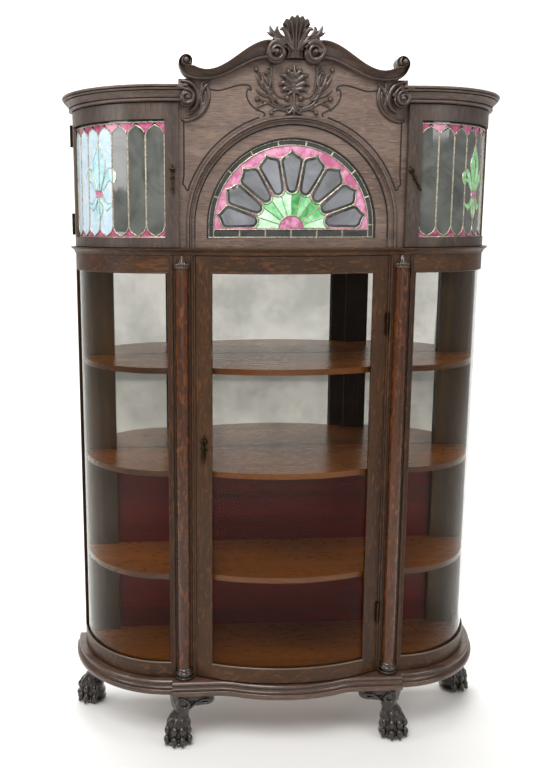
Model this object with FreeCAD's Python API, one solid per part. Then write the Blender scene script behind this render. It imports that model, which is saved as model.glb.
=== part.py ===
import FreeCAD, Part
import math
import os

# China cabinet with a bowed middle door, two bays of bent glass, and an upper case
# with a leaded lunette between two curved leaded doors.
# Millimetres.  +Z is up, +X is to the viewer's right, and the front faces -Y.
# The origin is on the floor, below the centre of the cabinet's outer box.
# The plan is first drawn with the flat front of the posts on the line y = 0, and every
# solid is moved back by FRONT_REACH at the end, to centre the box.

V = FreeCAD.Vector

# ---------------------------------------------------------------- heights
FOOT_HEIGHT = 158.0
BASE_HEIGHT = 39.0
LOWER_CASE_HEIGHT = 1188.0
WAIST_HEIGHT = 18.0
UPPER_CASE_HEIGHT = 368.0
CORNICE_HEIGHT = 40.0
CREST_RISE = 169.0

BASE_TOP = FOOT_HEIGHT + BASE_HEIGHT
WAIST_BOTTOM = BASE_TOP + LOWER_CASE_HEIGHT
DECK_TOP = WAIST_BOTTOM + WAIST_HEIGHT
CORNICE_BOTTOM = DECK_TOP + UPPER_CASE_HEIGHT
CORNICE_TOP = CORNICE_BOTTOM + CORNICE_HEIGHT
TOTAL_HEIGHT = CORNICE_TOP + CREST_RISE

# ---------------------------------------------------------------- plan
FRONT_HALF = 327.0          # centre line to the outer face of a front post
POST_WIDTH = 70.0
POST_DEPTH = 32.0
BAY_WIDTH = 264.0           # how far a curved bay reaches out past its front post
CASE_DEPTH = 300.0          # front line to the back of the case
SIDE_FLAT = 10.0            # straight stretch of each side, at the back
DOOR_BOW = 60.0             # how far the middle of the door stands in front of the posts

FAR = 2000.0                # outside the cabinet in every direction
DOOR_OPENING_HALF = FRONT_HALF - POST_WIDTH
BAY_HALF = FRONT_HALF + BAY_WIDTH
BAY_DEPTH = CASE_DEPTH - SIDE_FLAT

# ---------------------------------------------------------------- boards and rails
RAIL_THICKNESS = 20.0
FLOOR_THICKNESS = 22.0
LOWER_RAIL_HEIGHT = 43.0
HEAD_RAIL_HEIGHT = 44.0
REAR_POST_WIDTH = 106.0
REAR_POST_DEPTH = 34.0
BACK_BOARD_THICKNESS = 12.0
BACK_BOARD_COUNT = 9
BACK_SETBACK = 2.0
MIRROR_THICKNESS = 5.0
SHELF_THICKNESS = 16.0
SHELF_RISES = (304.0, 602.0, 888.0)    # top of the base to the top of each shelf
SHELF_BAY_INSET = 15.0
SHELF_DOOR_GAP = 4.0         # clears the back corner of the door as it swings
SHELF_NOTCH_GAP = 1.0
SHELF_BACK_GAP = 2.0
PIN_RADIUS = 3.0
PIN_REACH = 14.0
PIN_DEPTH = 10.0
PIN_INSET = 20.0

REAR_POST_INNER = BAY_HALF - REAR_POST_WIDTH
REAR_POST_FRONT = CASE_DEPTH - REAR_POST_DEPTH
SHELF_TOPS = tuple(BASE_TOP + rise for rise in SHELF_RISES)

# ---------------------------------------------------------------- glass
GLASS_THICKNESS = 3.0
GLASS_SETBACK = 7.0         # rebate: face of the frame to face of the glass
GLASS_TUCK = 5.0            # how deep each glass sits in its groove
LEADED_THICKNESS = 4.0
LEADED_SETBACK = 8.0

# ---------------------------------------------------------------- middle door
DOOR_THICKNESS = 22.0
DOOR_SIDE_GAP = 1.5
DOOR_BOTTOM_GAP = 3.0
DOOR_TOP_GAP = 2.0
DOOR_BACK_GAP = 4.0          # clears the back corner of the door as it swings
DOOR_STILE_WIDTH = 40.5
DOOR_BOTTOM_RAIL = 41.0
DOOR_TOP_RAIL = 42.0

DOOR_HALF = DOOR_OPENING_HALF - DOOR_SIDE_GAP
DOOR_BOTTOM = BASE_TOP + DOOR_BOTTOM_GAP
DOOR_TOP = WAIST_BOTTOM - DOOR_TOP_GAP

# ---------------------------------------------------------------- mouldings
# Each profile is a run of (share of the moulding's height, reach past the case).
BASE_PROFILE = (
    (0.0, 28.0), (0.15, 30.0), (0.36, 30.0), (0.46, 26.0), (0.56, 19.0), (0.72, 17.0), (0.79, 21.0),
    (0.90, 22.0), (1.0, 20.0),
)
WAIST_PROFILE = ((0.0, 2.0), (0.17, 3.0), (0.39, 5.0), (0.61, 9.0), (0.78, 13.0), (1.0, 14.0))
CORNICE_PROFILE = (
    (0.0, 5.0), (0.10, 8.0), (0.20, 7.0), (0.28, 8.0), (0.45, 12.0), (0.65, 18.0), (0.75, 24.0),
    (0.88, 28.0), (1.0, 26.0),
)
BLOCK_WIDTH = 127.0         # length of the block under a front post
BLOCK_STEP = 15.0           # how far the blocks under the posts stand out from the base
BASE_BOW = 34.0             # how far the middle of the base stands in front of the blocks
OGEE_SHARE = 0.25           # hollow part of the ogee between a block and the bow
BASE_WIDTH = 60.0           # width of the base frame inside the case line
CORNICE_OVERLAP = 51.0       # edge of the frieze panel to the middle of a cornice volute
VOLUTE_RADIUS = 20.0
VOLUTE_DROP = 32.0          # cornice top to the middle of a volute
VOLUTE_FRONT = -30.0

BLOCK_INNER = FRONT_HALF - BLOCK_WIDTH
CORNICE_INNER = FRONT_HALF - CORNICE_OVERLAP

# ---------------------------------------------------------------- columns and feet
COLUMN_RADIUS = 18.5
COLUMN_BASE_HEIGHT = 28.0
CAPITAL_HEIGHT = 34.0
# (share of the height, radius past the shaft) of the turned base and of the capital
COLUMN_BASE_PROFILE = (
    (0.0, 5.5), (0.29, 5.5), (0.36, 1.5), (0.46, 1.5), (0.54, 4.5), (0.75, 4.5), (1.0, 0.0),
)
CAPITAL_PROFILE = ((0.0, 1.5), (0.12, 1.5), (0.18, -1.0), (0.59, -3.0), (1.0, -8.0))
PAW_INSET = 15.0            # outer face of the post to the middle of the paw
ANKLE_INSET = 27.0
PAW_HALF_WIDTH = 43.0
PAW_HALF_DEPTH = 45.0
# (share of the height, share of the lean, width share, depth share) up the foot
PAW_SECTIONS = (
    (0.00, 1.0, 0.91, 0.93), (0.10, 1.0, 1.0, 1.0), (0.25, 1.0, 0.98, 0.98), (0.42, 0.6, 0.78, 0.76),
    (0.60, 0.1, 0.59, 0.58), (0.78, 0.0, 0.63, 0.62), (1.00, 0.0, 0.76, 0.74),
)
WING_INSET = 5.0            # inner end of the block to the tip of the knee wing
WING_DROP = 61.0
WING_FRONT = -32.0
WING_BACK = 20.0
# (share of the way from the ankle to the wing tip, share of the drop)
WING_OUTLINE = ((0.0, 0.0), (0.0, 1.0), (0.32, 0.81), (0.53, 0.62), (0.81, 0.59), (1.0, 0.31), (1.0, 0.0))
REAR_FOOT_INSET = 19.0      # side of the case to the middle of a rear foot
REAR_FOOT_SETBACK = 50.0    # back of the case to the middle of a rear foot

PAW_CENTRE = FRONT_HALF - PAW_INSET
ANKLE_CENTRE = FRONT_HALF - ANKLE_INSET
WING_INNER = BLOCK_INNER + WING_INSET
REAR_FOOT_X = BAY_HALF - REAR_FOOT_INSET
REAR_FOOT_Y = CASE_DEPTH - REAR_FOOT_SETBACK

# ---------------------------------------------------------------- upper case
UPPER_DOOR_THICKNESS = 20.0
UPPER_DOOR_OVERLAP = 28.5    # edge of the frieze panel to the free edge of an upper door
UPPER_STILE_WIDTH = 35.0
UPPER_REAR_STILE = 40.0
UPPER_BOTTOM_RAIL = 25.0
UPPER_TOP_RAIL = 40.0
UPPER_DOOR_GAP = 4.0        # upper door to the frieze panel and to the rear post
UPPER_BOTTOM_GAP = 2.0
UPPER_TOP_GAP = 3.0
PANEL_THICKNESS = 20.0
TOP_BOARD_THICKNESS = 14.0
ARCH_RISE = 59.0            # deck to the centre of the arch
LUNETTE_SILL = 25.0
ARCH_FRAME_WIDTH = 37.0
ARCH_FRAME_DEPTH = 16.0
ARCH_FRAME_SETBACK = 6.0
ARCH_MOULD_GAP = 4.0
ARCH_MOULD_WIDTH = 16.0
ARCH_MOULD_PROUD = 12.0
ARCH_DOOR_GAP = 20.5         # arch moulding to the free edge of an upper door

UPPER_DOOR_INNER = FRONT_HALF - UPPER_DOOR_OVERLAP
ARCH_BAND = ARCH_FRAME_WIDTH + ARCH_MOULD_GAP + ARCH_MOULD_WIDTH
LUNETTE_RADIUS = UPPER_DOOR_INNER - ARCH_DOOR_GAP - ARCH_BAND
PANEL_FRONT = UPPER_DOOR_THICKNESS + UPPER_DOOR_GAP
PANEL_BACK = PANEL_FRONT + PANEL_THICKNESS
ARCH_CENTRE = DECK_TOP + ARCH_RISE
UPPER_DOOR_BOTTOM = DECK_TOP + UPPER_BOTTOM_GAP
UPPER_DOOR_TOP = CORNICE_BOTTOM - UPPER_TOP_GAP
UPPER_DOOR_REAR = REAR_POST_FRONT - UPPER_DOOR_GAP

# ---------------------------------------------------------------- pediment
ARM_LOW_INSET = 99.0        # edge of the frieze panel to the lowest point of an arm
ARM_LOW_RISE = 19.0         # cornice top to the underside at the low point
ARM_HIGH_X = 66.0           # inner end of an arm
ARM_HIGH_RISE = 67.0
ARM_LOW_DEPTH = 18.0        # height of the arm at its low point
ARM_HIGH_DEPTH = 42.0
ARM_CURVE_STEPS = 8
ARM_PROUD = 40.0            # how far an arm stands in front of the frieze panel
END_SCROLL_INSET = 50.0
END_SCROLL_RISE = 58.0
END_SCROLL_RADIUS = 21.0
MID_SCROLL_X = 49.0
MID_SCROLL_RISE = 81.0
MID_SCROLL_RADIUS = 21.0
SCROLL_PROUD = 46.0
SHOULDER_INSET = 30.0       # how much narrower the frieze panel is above the cornice
CREST_TIP_X = 68.0
CREST_DEPTH = 42.0
CREST_SETBACK = 12.0        # back of the frieze panel to the back of the crest
# (share of the half width, share of the height) up the right side of the crest
CREST_OUTLINE = (
    (0.40, 0.0), (0.40, 0.40), (0.75, 0.50), (0.90, 0.62), (1.0, 0.78), (0.68, 0.70), (0.62, 0.86),
    (0.40, 0.98), (0.30, 1.0),
)
CARVING_PROUD = 8.0
# (x, height past the cornice top) down the right side of the cartouche
CARTOUCHE_OUTLINE = (
    (0.0, 61.0), (60.0, 50.0), (122.0, 8.0), (104.0, -40.0), (40.0, -58.0), (0.0, -61.0),
)
# (distance in from the shoulder, height past the cornice top) round a bracket
BRACKET_OUTLINE = (
    (1.0, 16.0), (82.0, 14.0), (75.0, -2.0), (57.0, -34.0), (35.0, -62.0), (1.0, -64.0),
)

ARM_LOW_X = FRONT_HALF - ARM_LOW_INSET
END_SCROLL_X = FRONT_HALF - END_SCROLL_INSET
SHOULDER_X = FRONT_HALF - SHOULDER_INSET

# ---------------------------------------------------------------- hinges and pulls
KNUCKLE_RADIUS = 3.5
HINGE_PIN_RADIUS = 1.6
RUNNING_CLEARANCE = 0.05
LEAF_THICKNESS = 1.2
LEAF_WIDTH = 21.0
LEAF_GAP = 0.5              # plate to the round of the knuckles
KNUCKLE_LENGTH = 20.0
KNUCKLE_END_GAP = 0.3
DOOR_HINGE_INSET = 180.0    # end of the middle door to the middle of its hinge
UPPER_HINGE_INSET = 60.0    # end of an upper door to the middle of its hinge
DOOR_HINGE_Y = -6.5
UPPER_HINGE_REACH = 3.5     # side of the case to the upper hinge line
DOOR_PULL_RISE = 675.0      # bottom of the door to the middle of its escutcheon
DOOR_PLATE_WIDTH = 24.0
DOOR_PLATE_HEIGHT = 60.0
DOOR_DROP_LENGTH = 64.0
DOOR_DROP_RADIUS = 5.2
UPPER_PULL_INSET = 15.5     # free edge of an upper door to its escutcheon
UPPER_PULL_RISE = 186.0     # deck to the middle of an upper escutcheon
UPPER_PLATE_WIDTH = 13.0
UPPER_PLATE_HEIGHT = 54.0
UPPER_DROP_LENGTH = 60.0
UPPER_DROP_RADIUS = 4.0
RIGHT_PULL_TILT = 26.0      # the right upper plate has turned on its screw
PLATE_THICKNESS = 2.5
PIVOT_REACH = 9.0           # back of the plate to the cross pin
PIVOT_SHARE = 0.28          # height of the cross pin, as a share of the plate's height
CROSS_PIN_RADIUS = 2.0
EAR_THICKNESS = 2.0
EAR_HALF = 4.0
EAR_SPACE = 6.0             # between the two ears
EYE_RADIUS = 4.5
EYE_WIDTH = 5.4
# (share of the drop's radius, share of its length) down the turned drop
DROP_PROFILE = (
    (0.0, 0.0), (0.42, 0.0), (0.42, 0.22), (0.62, 0.28), (0.46, 0.38), (1.0, 0.78), (0.7, 0.95), (0.0, 1.0),
)

DOOR_HINGE_HEIGHTS = (DOOR_BOTTOM + DOOR_HINGE_INSET, DOOR_TOP - DOOR_HINGE_INSET)
DOOR_PULL_X = DOOR_HALF - DOOR_STILE_WIDTH / 2.0
DOOR_PULL_HEIGHT = DOOR_BOTTOM + DOOR_PULL_RISE
UPPER_HINGE_HEIGHTS = (UPPER_DOOR_BOTTOM + UPPER_HINGE_INSET, UPPER_DOOR_TOP - UPPER_HINGE_INSET)
UPPER_PULL_X = UPPER_DOOR_INNER + UPPER_PULL_INSET

# The origin is below the middle of the outer box, front to back.
OUTER_FRONT = max(reach for share, reach in BASE_PROFILE) + BLOCK_STEP + BASE_BOW
FRONT_REACH = (CASE_DEPTH - OUTER_FRONT) / 2.0


# ---------------------------------------------------------------- plan curves
def bay_arc(side, offset, level):
    """Quarter ellipse of a bay, on the right for side 1 and on the left for side -1."""
    centre = V(side * FRONT_HALF, BAY_DEPTH, level)
    flank = centre + V(side * (BAY_WIDTH + offset), 0, 0)
    front = centre - V(0, BAY_DEPTH + offset, 0)
    if BAY_WIDTH >= BAY_DEPTH:
        ellipse = Part.Ellipse(flank, front, centre)
    else:
        ellipse = Part.Ellipse(front, flank, centre)
    return Part.ArcOfEllipse(ellipse, 0, math.pi / 2.0).toShape()


def three_point(start, middle, end):
    """Arc through three points."""
    return Part.Arc(start, middle, end).toShape()


def straight(start, end):
    """Straight edge between two points."""
    return Part.LineSegment(start, end).toShape()


def flat_front(offset, level):
    """Front edge that runs straight from post to post."""
    right = V(FRONT_HALF, -offset, level)
    left = V(-FRONT_HALF, -offset, level)
    return [straight(right, left)]


def bowed_front(offset, level):
    """Front edge that follows the bowed door between the posts."""
    right = V(FRONT_HALF, -offset, level)
    door_right = V(DOOR_OPENING_HALF, -offset, level)
    middle = V(0, -offset - DOOR_BOW, level)
    door_left = V(-DOOR_OPENING_HALF, -offset, level)
    left = V(-FRONT_HALF, -offset, level)
    bow = three_point(door_right, middle, door_left)
    return [straight(right, door_right), bow, straight(door_left, left)]


def block_front(offset, level):
    """Front edge of the base: a block under each post, then an ogee into the bow."""
    face = -offset - BLOCK_STEP
    turn = 2.0 * math.atan2(BASE_BOW, BLOCK_INNER)
    both_radii = BLOCK_INNER / math.sin(turn)
    hollow = both_radii * OGEE_SHARE
    swelling = both_radii - hollow
    end = V(FRONT_HALF, -offset, level)
    corner = V(FRONT_HALF, face, level)
    inner = V(BLOCK_INNER, face, level)
    half = V(BLOCK_INNER - hollow * math.sin(turn / 2.0), face - hollow * (1.0 - math.cos(turn / 2.0)), level)
    meet = V(BLOCK_INNER - hollow * math.sin(turn), face - hollow * (1.0 - math.cos(turn)), level)
    crown = V(0, meet.y - swelling * (1.0 - math.cos(turn)), level)
    right = [straight(end, corner), straight(corner, inner), three_point(inner, half, meet)]
    bow = three_point(meet, crown, V(-meet.x, meet.y, level))
    return right + [bow] + [mirrored(edge) for edge in reversed(right)]


def plan_wire(front, offset, level):
    """Closed outline of the whole case, grown by offset past the face of the case."""
    half = BAY_HALF + offset
    edges = [straight(V(-half, CASE_DEPTH, level), V(half, CASE_DEPTH, level))]
    edges.append(straight(V(half, CASE_DEPTH, level), V(half, BAY_DEPTH, level)))
    edges.append(bay_arc(1, offset, level))
    edges.extend(front(offset, level))
    edges.append(bay_arc(-1, offset, level))
    edges.append(straight(V(-half, BAY_DEPTH, level), V(-half, CASE_DEPTH, level)))
    return Part.Wire(edges)


def plan_prism(front, offset, bottom, top, back=CASE_DEPTH):
    """Upright block with the case's plan, cut off straight at the given back line."""
    prism = Part.Face(plan_wire(front, offset, bottom)).extrude(V(0, 0, top - bottom))
    if back < CASE_DEPTH:
        prism = prism.common(block(-FAR, FAR, -FAR, back, bottom, top))
    return prism


def moulded(front, profile, bottom, height):
    """Solid moulding whose outline follows the plan at each step of its profile."""
    wires = [plan_wire(front, reach, bottom + share * height) for share, reach in profile]
    return Part.makeLoft(wires, True, True)


def block(x_low, x_high, y_low, y_high, z_low, z_high):
    """Box between two corners."""
    size = (x_high - x_low, y_high - y_low, z_high - z_low)
    return Part.makeBox(size[0], size[1], size[2], V(x_low, y_low, z_low))


def mirrored(shape):
    """The same shape on the other side of the centre line."""
    return shape.mirror(V(0, 0, 0), V(1, 0, 0))


def sheet_prism(points, y_front, y_back):
    """Straight-sided outline in the X-Z plane, carried from y_front to y_back."""
    corners = [V(x, y_front, z) for x, z in points]
    wire = Part.makePolygon(corners + corners[:1])
    return Part.Face(wire).extrude(V(0, y_back - y_front, 0))


def disc(x, z, radius, y_front, y_back):
    """Round plate that faces the front, from y_front to y_back."""
    return Part.makeCylinder(radius, y_back - y_front, V(x, y_front, z), V(0, 1, 0))


def bay_shell(outer, inner, bottom, top, x_low, y_high):
    """Right-hand bent strip between two offsets, from x_low round to y_high."""
    solid = plan_prism(flat_front, outer, bottom, top)
    core = plan_prism(flat_front, inner, bottom, top)
    window = block(x_low, FAR, -FAR, y_high, bottom, top)
    return solid.cut(core).common(window)


# ---------------------------------------------------------------- lower case
def side_glass():
    """Bent glass of the right bay, which sits in grooves all round."""
    bottom = BASE_TOP + LOWER_RAIL_HEIGHT - GLASS_TUCK
    top = WAIST_BOTTOM - HEAD_RAIL_HEIGHT + GLASS_TUCK
    outer = -GLASS_SETBACK
    inner = outer - GLASS_THICKNESS
    return bay_shell(outer, inner, bottom, top, FRONT_HALF - GLASS_TUCK, REAR_POST_FRONT + GLASS_TUCK)


def lower_rail():
    """Bent rail under the side glass."""
    rail = bay_shell(0, -RAIL_THICKNESS, BASE_TOP, BASE_TOP + LOWER_RAIL_HEIGHT, FRONT_HALF, REAR_POST_FRONT)
    return rail.cut(side_glass())


def upper_rail():
    """Bent rail over the side glass."""
    bottom = WAIST_BOTTOM - HEAD_RAIL_HEIGHT
    rail = bay_shell(0, -RAIL_THICKNESS, bottom, WAIST_BOTTOM, FRONT_HALF, REAR_POST_FRONT)
    return rail.cut(side_glass())


def base_moulding():
    """Moulded base frame with a block under each front post."""
    outer = moulded(block_front, BASE_PROFILE, FOOT_HEIGHT, BASE_HEIGHT)
    inner = plan_prism(flat_front, -BASE_WIDTH, FOOT_HEIGHT, BASE_TOP, CASE_DEPTH - BASE_WIDTH)
    return outer.cut(inner)


def waist_moulding():
    """Moulding round the waist, which follows the bays and the door."""
    outer = moulded(bowed_front, WAIST_PROFILE, WAIST_BOTTOM, WAIST_HEIGHT)
    return outer.cut(plan_prism(bowed_front, -RAIL_THICKNESS, WAIST_BOTTOM, DECK_TOP))


def rear_post():
    """Post at a back corner, which runs past the waist up to the cornice."""
    body = plan_prism(flat_front, 0, BASE_TOP, CORNICE_BOTTOM)
    corner = block(REAR_POST_INNER, BAY_HALF, REAR_POST_FRONT, CASE_DEPTH, BASE_TOP, CORNICE_BOTTOM)
    body = body.common(corner)
    return body.cut([waist_moulding(), side_glass(), shelf_pins()])


def front_post():
    """Post beside the middle door."""
    body = block(DOOR_OPENING_HALF, FRONT_HALF, 0, POST_DEPTH, BASE_TOP, WAIST_BOTTOM)
    return body.cut([side_glass(), shelf_pins()])


def shelf_pins():
    """Four round pins under each shelf, one in the back or front of each post."""
    front_x = FRONT_HALF - POST_WIDTH / 2.0
    rear_x = REAR_POST_INNER + PIN_INSET
    pins = []
    for top in SHELF_TOPS:
        level = top - SHELF_THICKNESS - PIN_RADIUS
        for side in (-1, 1):
            front_start = V(side * front_x, POST_DEPTH - PIN_DEPTH, level)
            rear_start = V(side * rear_x, REAR_POST_FRONT - PIN_REACH, level)
            pins.append(Part.makeCylinder(PIN_RADIUS, PIN_DEPTH + PIN_REACH, front_start, V(0, 1, 0)))
            pins.append(Part.makeCylinder(PIN_RADIUS, PIN_DEPTH + PIN_REACH, rear_start, V(0, 1, 0)))
    return Part.makeCompound(pins)


def column():
    """Half-round shaft and its turned base, against the face of the post."""
    top = WAIST_BOTTOM - CAPITAL_HEIGHT
    outline = [V(0, 0, BASE_TOP)]
    for share, more in COLUMN_BASE_PROFILE:
        outline.append(V(COLUMN_RADIUS + more, 0, BASE_TOP + share * COLUMN_BASE_HEIGHT))
    outline.append(V(COLUMN_RADIUS, 0, top))
    outline.append(V(0, 0, top))
    return half_turned(outline)


def capital():
    """Half-round capital that narrows towards the waist moulding."""
    bottom = WAIST_BOTTOM - CAPITAL_HEIGHT
    outline = [V(0, 0, bottom)]
    for share, more in CAPITAL_PROFILE:
        outline.append(V(COLUMN_RADIUS + more, 0, bottom + share * CAPITAL_HEIGHT))
    outline.append(V(0, 0, WAIST_BOTTOM))
    return half_turned(outline)


def half_turned(outline):
    """Front half of a turning about an upright axis on the face of the right post."""
    face = Part.Face(Part.makePolygon(outline + outline[:1]))
    turning = face.revolve(V(0, 0, 0), V(0, 0, 1), 360)
    front = block(-FAR, FAR, -FAR, 0, 0, TOTAL_HEIGHT)
    half = turning.common(front)
    half.translate(V(FRONT_HALF - POST_WIDTH / 2.0, 0, 0))
    return half


def case_floor():
    """Bottom board, inside the bent rails and behind the door."""
    bottom = BASE_TOP
    top = BASE_TOP + FLOOR_THICKNESS
    back = CASE_DEPTH - BACK_SETBACK - BACK_BOARD_THICKNESS
    board = plan_prism(bowed_front, -RAIL_THICKNESS, bottom, top, back)
    behind_door = plan_prism(bowed_front, -DOOR_THICKNESS - DOOR_BACK_GAP, bottom, top, back)
    between_posts = block(-FRONT_HALF, FRONT_HALF, -FAR, FAR, bottom, top)
    sides = board.cut(between_posts)
    middle = behind_door.common(between_posts)
    board = sides.fuse(middle).removeSplitter()
    for side in (-1, 1):
        board = board.cut(post_notch(side, bottom, top, 0.0))
        board = board.cut(rear_notch(side, bottom, top, 0.0))
    return board


def post_notch(side, bottom, top, gap):
    """Room for a front post at the edge of a board."""
    low = DOOR_OPENING_HALF - gap
    high = FRONT_HALF + gap
    x_low, x_high = sorted((side * low, side * high))
    return block(x_low, x_high, -FAR, POST_DEPTH + gap, bottom, top)


def rear_notch(side, bottom, top, gap):
    """Room for a rear post at the corner of a board."""
    x_low, x_high = sorted((side * (REAR_POST_INNER - gap), side * FAR))
    return block(x_low, x_high, REAR_POST_FRONT - gap, FAR, bottom, top)


def shelf(top):
    """Shaped shelf: it follows the glass in the bays and the bow of the door."""
    bottom = top - SHELF_THICKNESS
    back = CASE_DEPTH - BACK_SETBACK - BACK_BOARD_THICKNESS - MIRROR_THICKNESS - SHELF_BACK_GAP
    between_posts = block(-FRONT_HALF, FRONT_HALF, -FAR, FAR, bottom, top)
    bays = plan_prism(flat_front, -SHELF_BAY_INSET, bottom, top, back).cut(between_posts)
    middle = plan_prism(bowed_front, -DOOR_THICKNESS - SHELF_DOOR_GAP, bottom, top, back)
    middle = middle.common(between_posts)
    board = bays.fuse(middle).removeSplitter()
    for side in (-1, 1):
        board = board.cut(post_notch(side, bottom, top, SHELF_NOTCH_GAP))
        board = board.cut(rear_notch(side, bottom, top, SHELF_NOTCH_GAP))
    return board


def back_boards():
    """Horizontal boards between the rear posts, from the base to the waist."""
    back = CASE_DEPTH - BACK_SETBACK
    front = back - BACK_BOARD_THICKNESS
    step = (WAIST_BOTTOM - BASE_TOP) / BACK_BOARD_COUNT
    boards = []
    for index in range(BACK_BOARD_COUNT):
        low = BASE_TOP + index * step
        boards.append(block(-REAR_POST_INNER, REAR_POST_INNER, front, back, low, low + step))
    return Part.makeCompound(boards)


def mirror():
    """Silvered plate behind the two upper spaces, from the middle shelf to the waist."""
    back = CASE_DEPTH - BACK_SETBACK - BACK_BOARD_THICKNESS
    low = SHELF_TOPS[1]
    return block(-REAR_POST_INNER, REAR_POST_INNER, back - MIRROR_THICKNESS, back, low, WAIST_BOTTOM)


def head_rail():
    """Bowed rail between the front posts, which the top of the door closes against."""
    bottom = WAIST_BOTTOM - HEAD_RAIL_HEIGHT
    face = -DOOR_THICKNESS - DOOR_BACK_GAP
    rail = plan_prism(bowed_front, face, bottom, WAIST_BOTTOM)
    rail = rail.cut(plan_prism(bowed_front, face - RAIL_THICKNESS, bottom, WAIST_BOTTOM))
    return rail.common(block(-DOOR_OPENING_HALF, DOOR_OPENING_HALF, -FAR, FAR, bottom, WAIST_BOTTOM))


def waist_deck():
    """Board inside the waist moulding, notched round the full-height rear posts."""
    board = plan_prism(bowed_front, -RAIL_THICKNESS, WAIST_BOTTOM, DECK_TOP)
    for side in (-1, 1):
        board = board.cut(rear_notch(side, WAIST_BOTTOM, DECK_TOP, 0.0))
    return board


def ellipse_wire(x, y, half_x, half_y, level):
    """Level ellipse about (x, y)."""
    centre = V(x, y, level)
    along = centre + V(0, half_y, 0)
    if half_x >= half_y:
        ellipse = Part.Ellipse(centre + V(half_x, 0, 0), along, centre)
    else:
        ellipse = Part.Ellipse(along, centre - V(half_x, 0, 0), centre)
    return Part.Wire([ellipse.toShape()])


def paw(x, y, lean):
    """Paw, ankle and knee about (x, y); the paw stands lean further out than the knee."""
    wires = []
    for rise, out, width, depth in PAW_SECTIONS:
        level = rise * FOOT_HEIGHT
        wires.append(ellipse_wire(x + out * lean, y, PAW_HALF_WIDTH * width, PAW_HALF_DEPTH * depth, level))
    return Part.makeLoft(wires, True, False)


def front_foot():
    """Paw foot with a knee wing that points towards the middle."""
    foot = paw(ANKLE_CENTRE, 0, PAW_CENTRE - ANKLE_CENTRE)
    span = WING_INNER - ANKLE_CENTRE
    outline = [(ANKLE_CENTRE + share * span, FOOT_HEIGHT - drop * WING_DROP) for share, drop in WING_OUTLINE]
    return foot.fuse(sheet_prism(outline, WING_FRONT, WING_BACK))


def rear_foot():
    """Paw foot under a back corner."""
    return paw(REAR_FOOT_X, REAR_FOOT_Y, 0)


# ---------------------------------------------------------------- middle door
def door_shell(outer, inner, half_low, half_high, bottom, top):
    """Bowed strip between two offsets, from x = half_low to x = half_high."""
    solid = plan_prism(bowed_front, outer, bottom, top)
    solid = solid.cut(plan_prism(bowed_front, inner, bottom, top))
    return solid.common(block(half_low, half_high, -FAR, FAR, bottom, top))


def door_glass():
    """Bowed glass of the middle door."""
    reach = DOOR_HALF - DOOR_STILE_WIDTH + GLASS_TUCK
    bottom = DOOR_BOTTOM + DOOR_BOTTOM_RAIL - GLASS_TUCK
    top = DOOR_TOP - DOOR_TOP_RAIL + GLASS_TUCK
    outer = -GLASS_SETBACK
    return door_shell(outer, outer - GLASS_THICKNESS, -reach, reach, bottom, top)


def door_stile(low, high):
    """Upright of the middle door."""
    return door_shell(0, -DOOR_THICKNESS, low, high, DOOR_BOTTOM, DOOR_TOP).cut(door_glass())


def door_rail(bottom, top):
    """Bowed cross rail of the middle door."""
    reach = DOOR_HALF - DOOR_STILE_WIDTH
    return door_shell(0, -DOOR_THICKNESS, -reach, reach, bottom, top).cut(door_glass())


# ---------------------------------------------------------------- upper case
def arch_prism(radius, sill, y_front, y_back):
    """Round-headed shape about the arch centre, with straight legs down to the sill."""
    right = V(radius, y_front, ARCH_CENTRE)
    crown = V(0, y_front, ARCH_CENTRE + radius)
    left = V(-radius, y_front, ARCH_CENTRE)
    foot_left = V(-radius, y_front, sill)
    foot_right = V(radius, y_front, sill)
    edges = [three_point(right, crown, left), straight(left, foot_left)]
    edges.append(straight(foot_left, foot_right))
    edges.append(straight(foot_right, right))
    return Part.Face(Part.Wire(edges)).extrude(V(0, y_back - y_front, 0))


def lunette_glass():
    """Leaded glass of the arch."""
    front = PANEL_FRONT + ARCH_FRAME_SETBACK + (ARCH_FRAME_DEPTH - LEADED_THICKNESS) / 2.0
    sill = DECK_TOP + LUNETTE_SILL - GLASS_TUCK
    return arch_prism(LUNETTE_RADIUS + GLASS_TUCK, sill, front, front + LEADED_THICKNESS)


def lunette_frame():
    """Flat arched frame with a sill, which holds the leaded glass."""
    front = PANEL_FRONT + ARCH_FRAME_SETBACK
    back = front + ARCH_FRAME_DEPTH
    frame = arch_prism(LUNETTE_RADIUS + ARCH_FRAME_WIDTH, DECK_TOP, front, back)
    frame = frame.cut(arch_prism(LUNETTE_RADIUS, DECK_TOP + LUNETTE_SILL, front, back))
    return frame.cut(lunette_glass())


def arch_moulding():
    """Raised moulding round the arched frame."""
    inner = LUNETTE_RADIUS + ARCH_FRAME_WIDTH + ARCH_MOULD_GAP
    front = PANEL_FRONT - ARCH_MOULD_PROUD
    ring = arch_prism(inner + ARCH_MOULD_WIDTH, DECK_TOP, front, PANEL_FRONT)
    return ring.cut(arch_prism(inner, DECK_TOP, front, PANEL_FRONT))


def swell(share):
    """Smooth rise from 0 to 1 as share goes from 0 to 1."""
    return (1.0 - math.cos(math.pi * share)) / 2.0


def arm_curve(extra_low, extra_high, y):
    """S-curve of a swan-neck arm, from its low point to its inner end."""
    low = CORNICE_TOP + ARM_LOW_RISE + extra_low
    high = CORNICE_TOP + ARM_HIGH_RISE + extra_high
    points = []
    for index in range(ARM_CURVE_STEPS + 1):
        share = index / ARM_CURVE_STEPS
        x = ARM_LOW_X + (ARM_HIGH_X - ARM_LOW_X) * share
        points.append(V(x, y, low + (high - low) * swell(share)))
    curve = Part.BSplineCurve()
    curve.interpolate(points)
    return curve.toShape(), points[0], points[-1]


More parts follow.
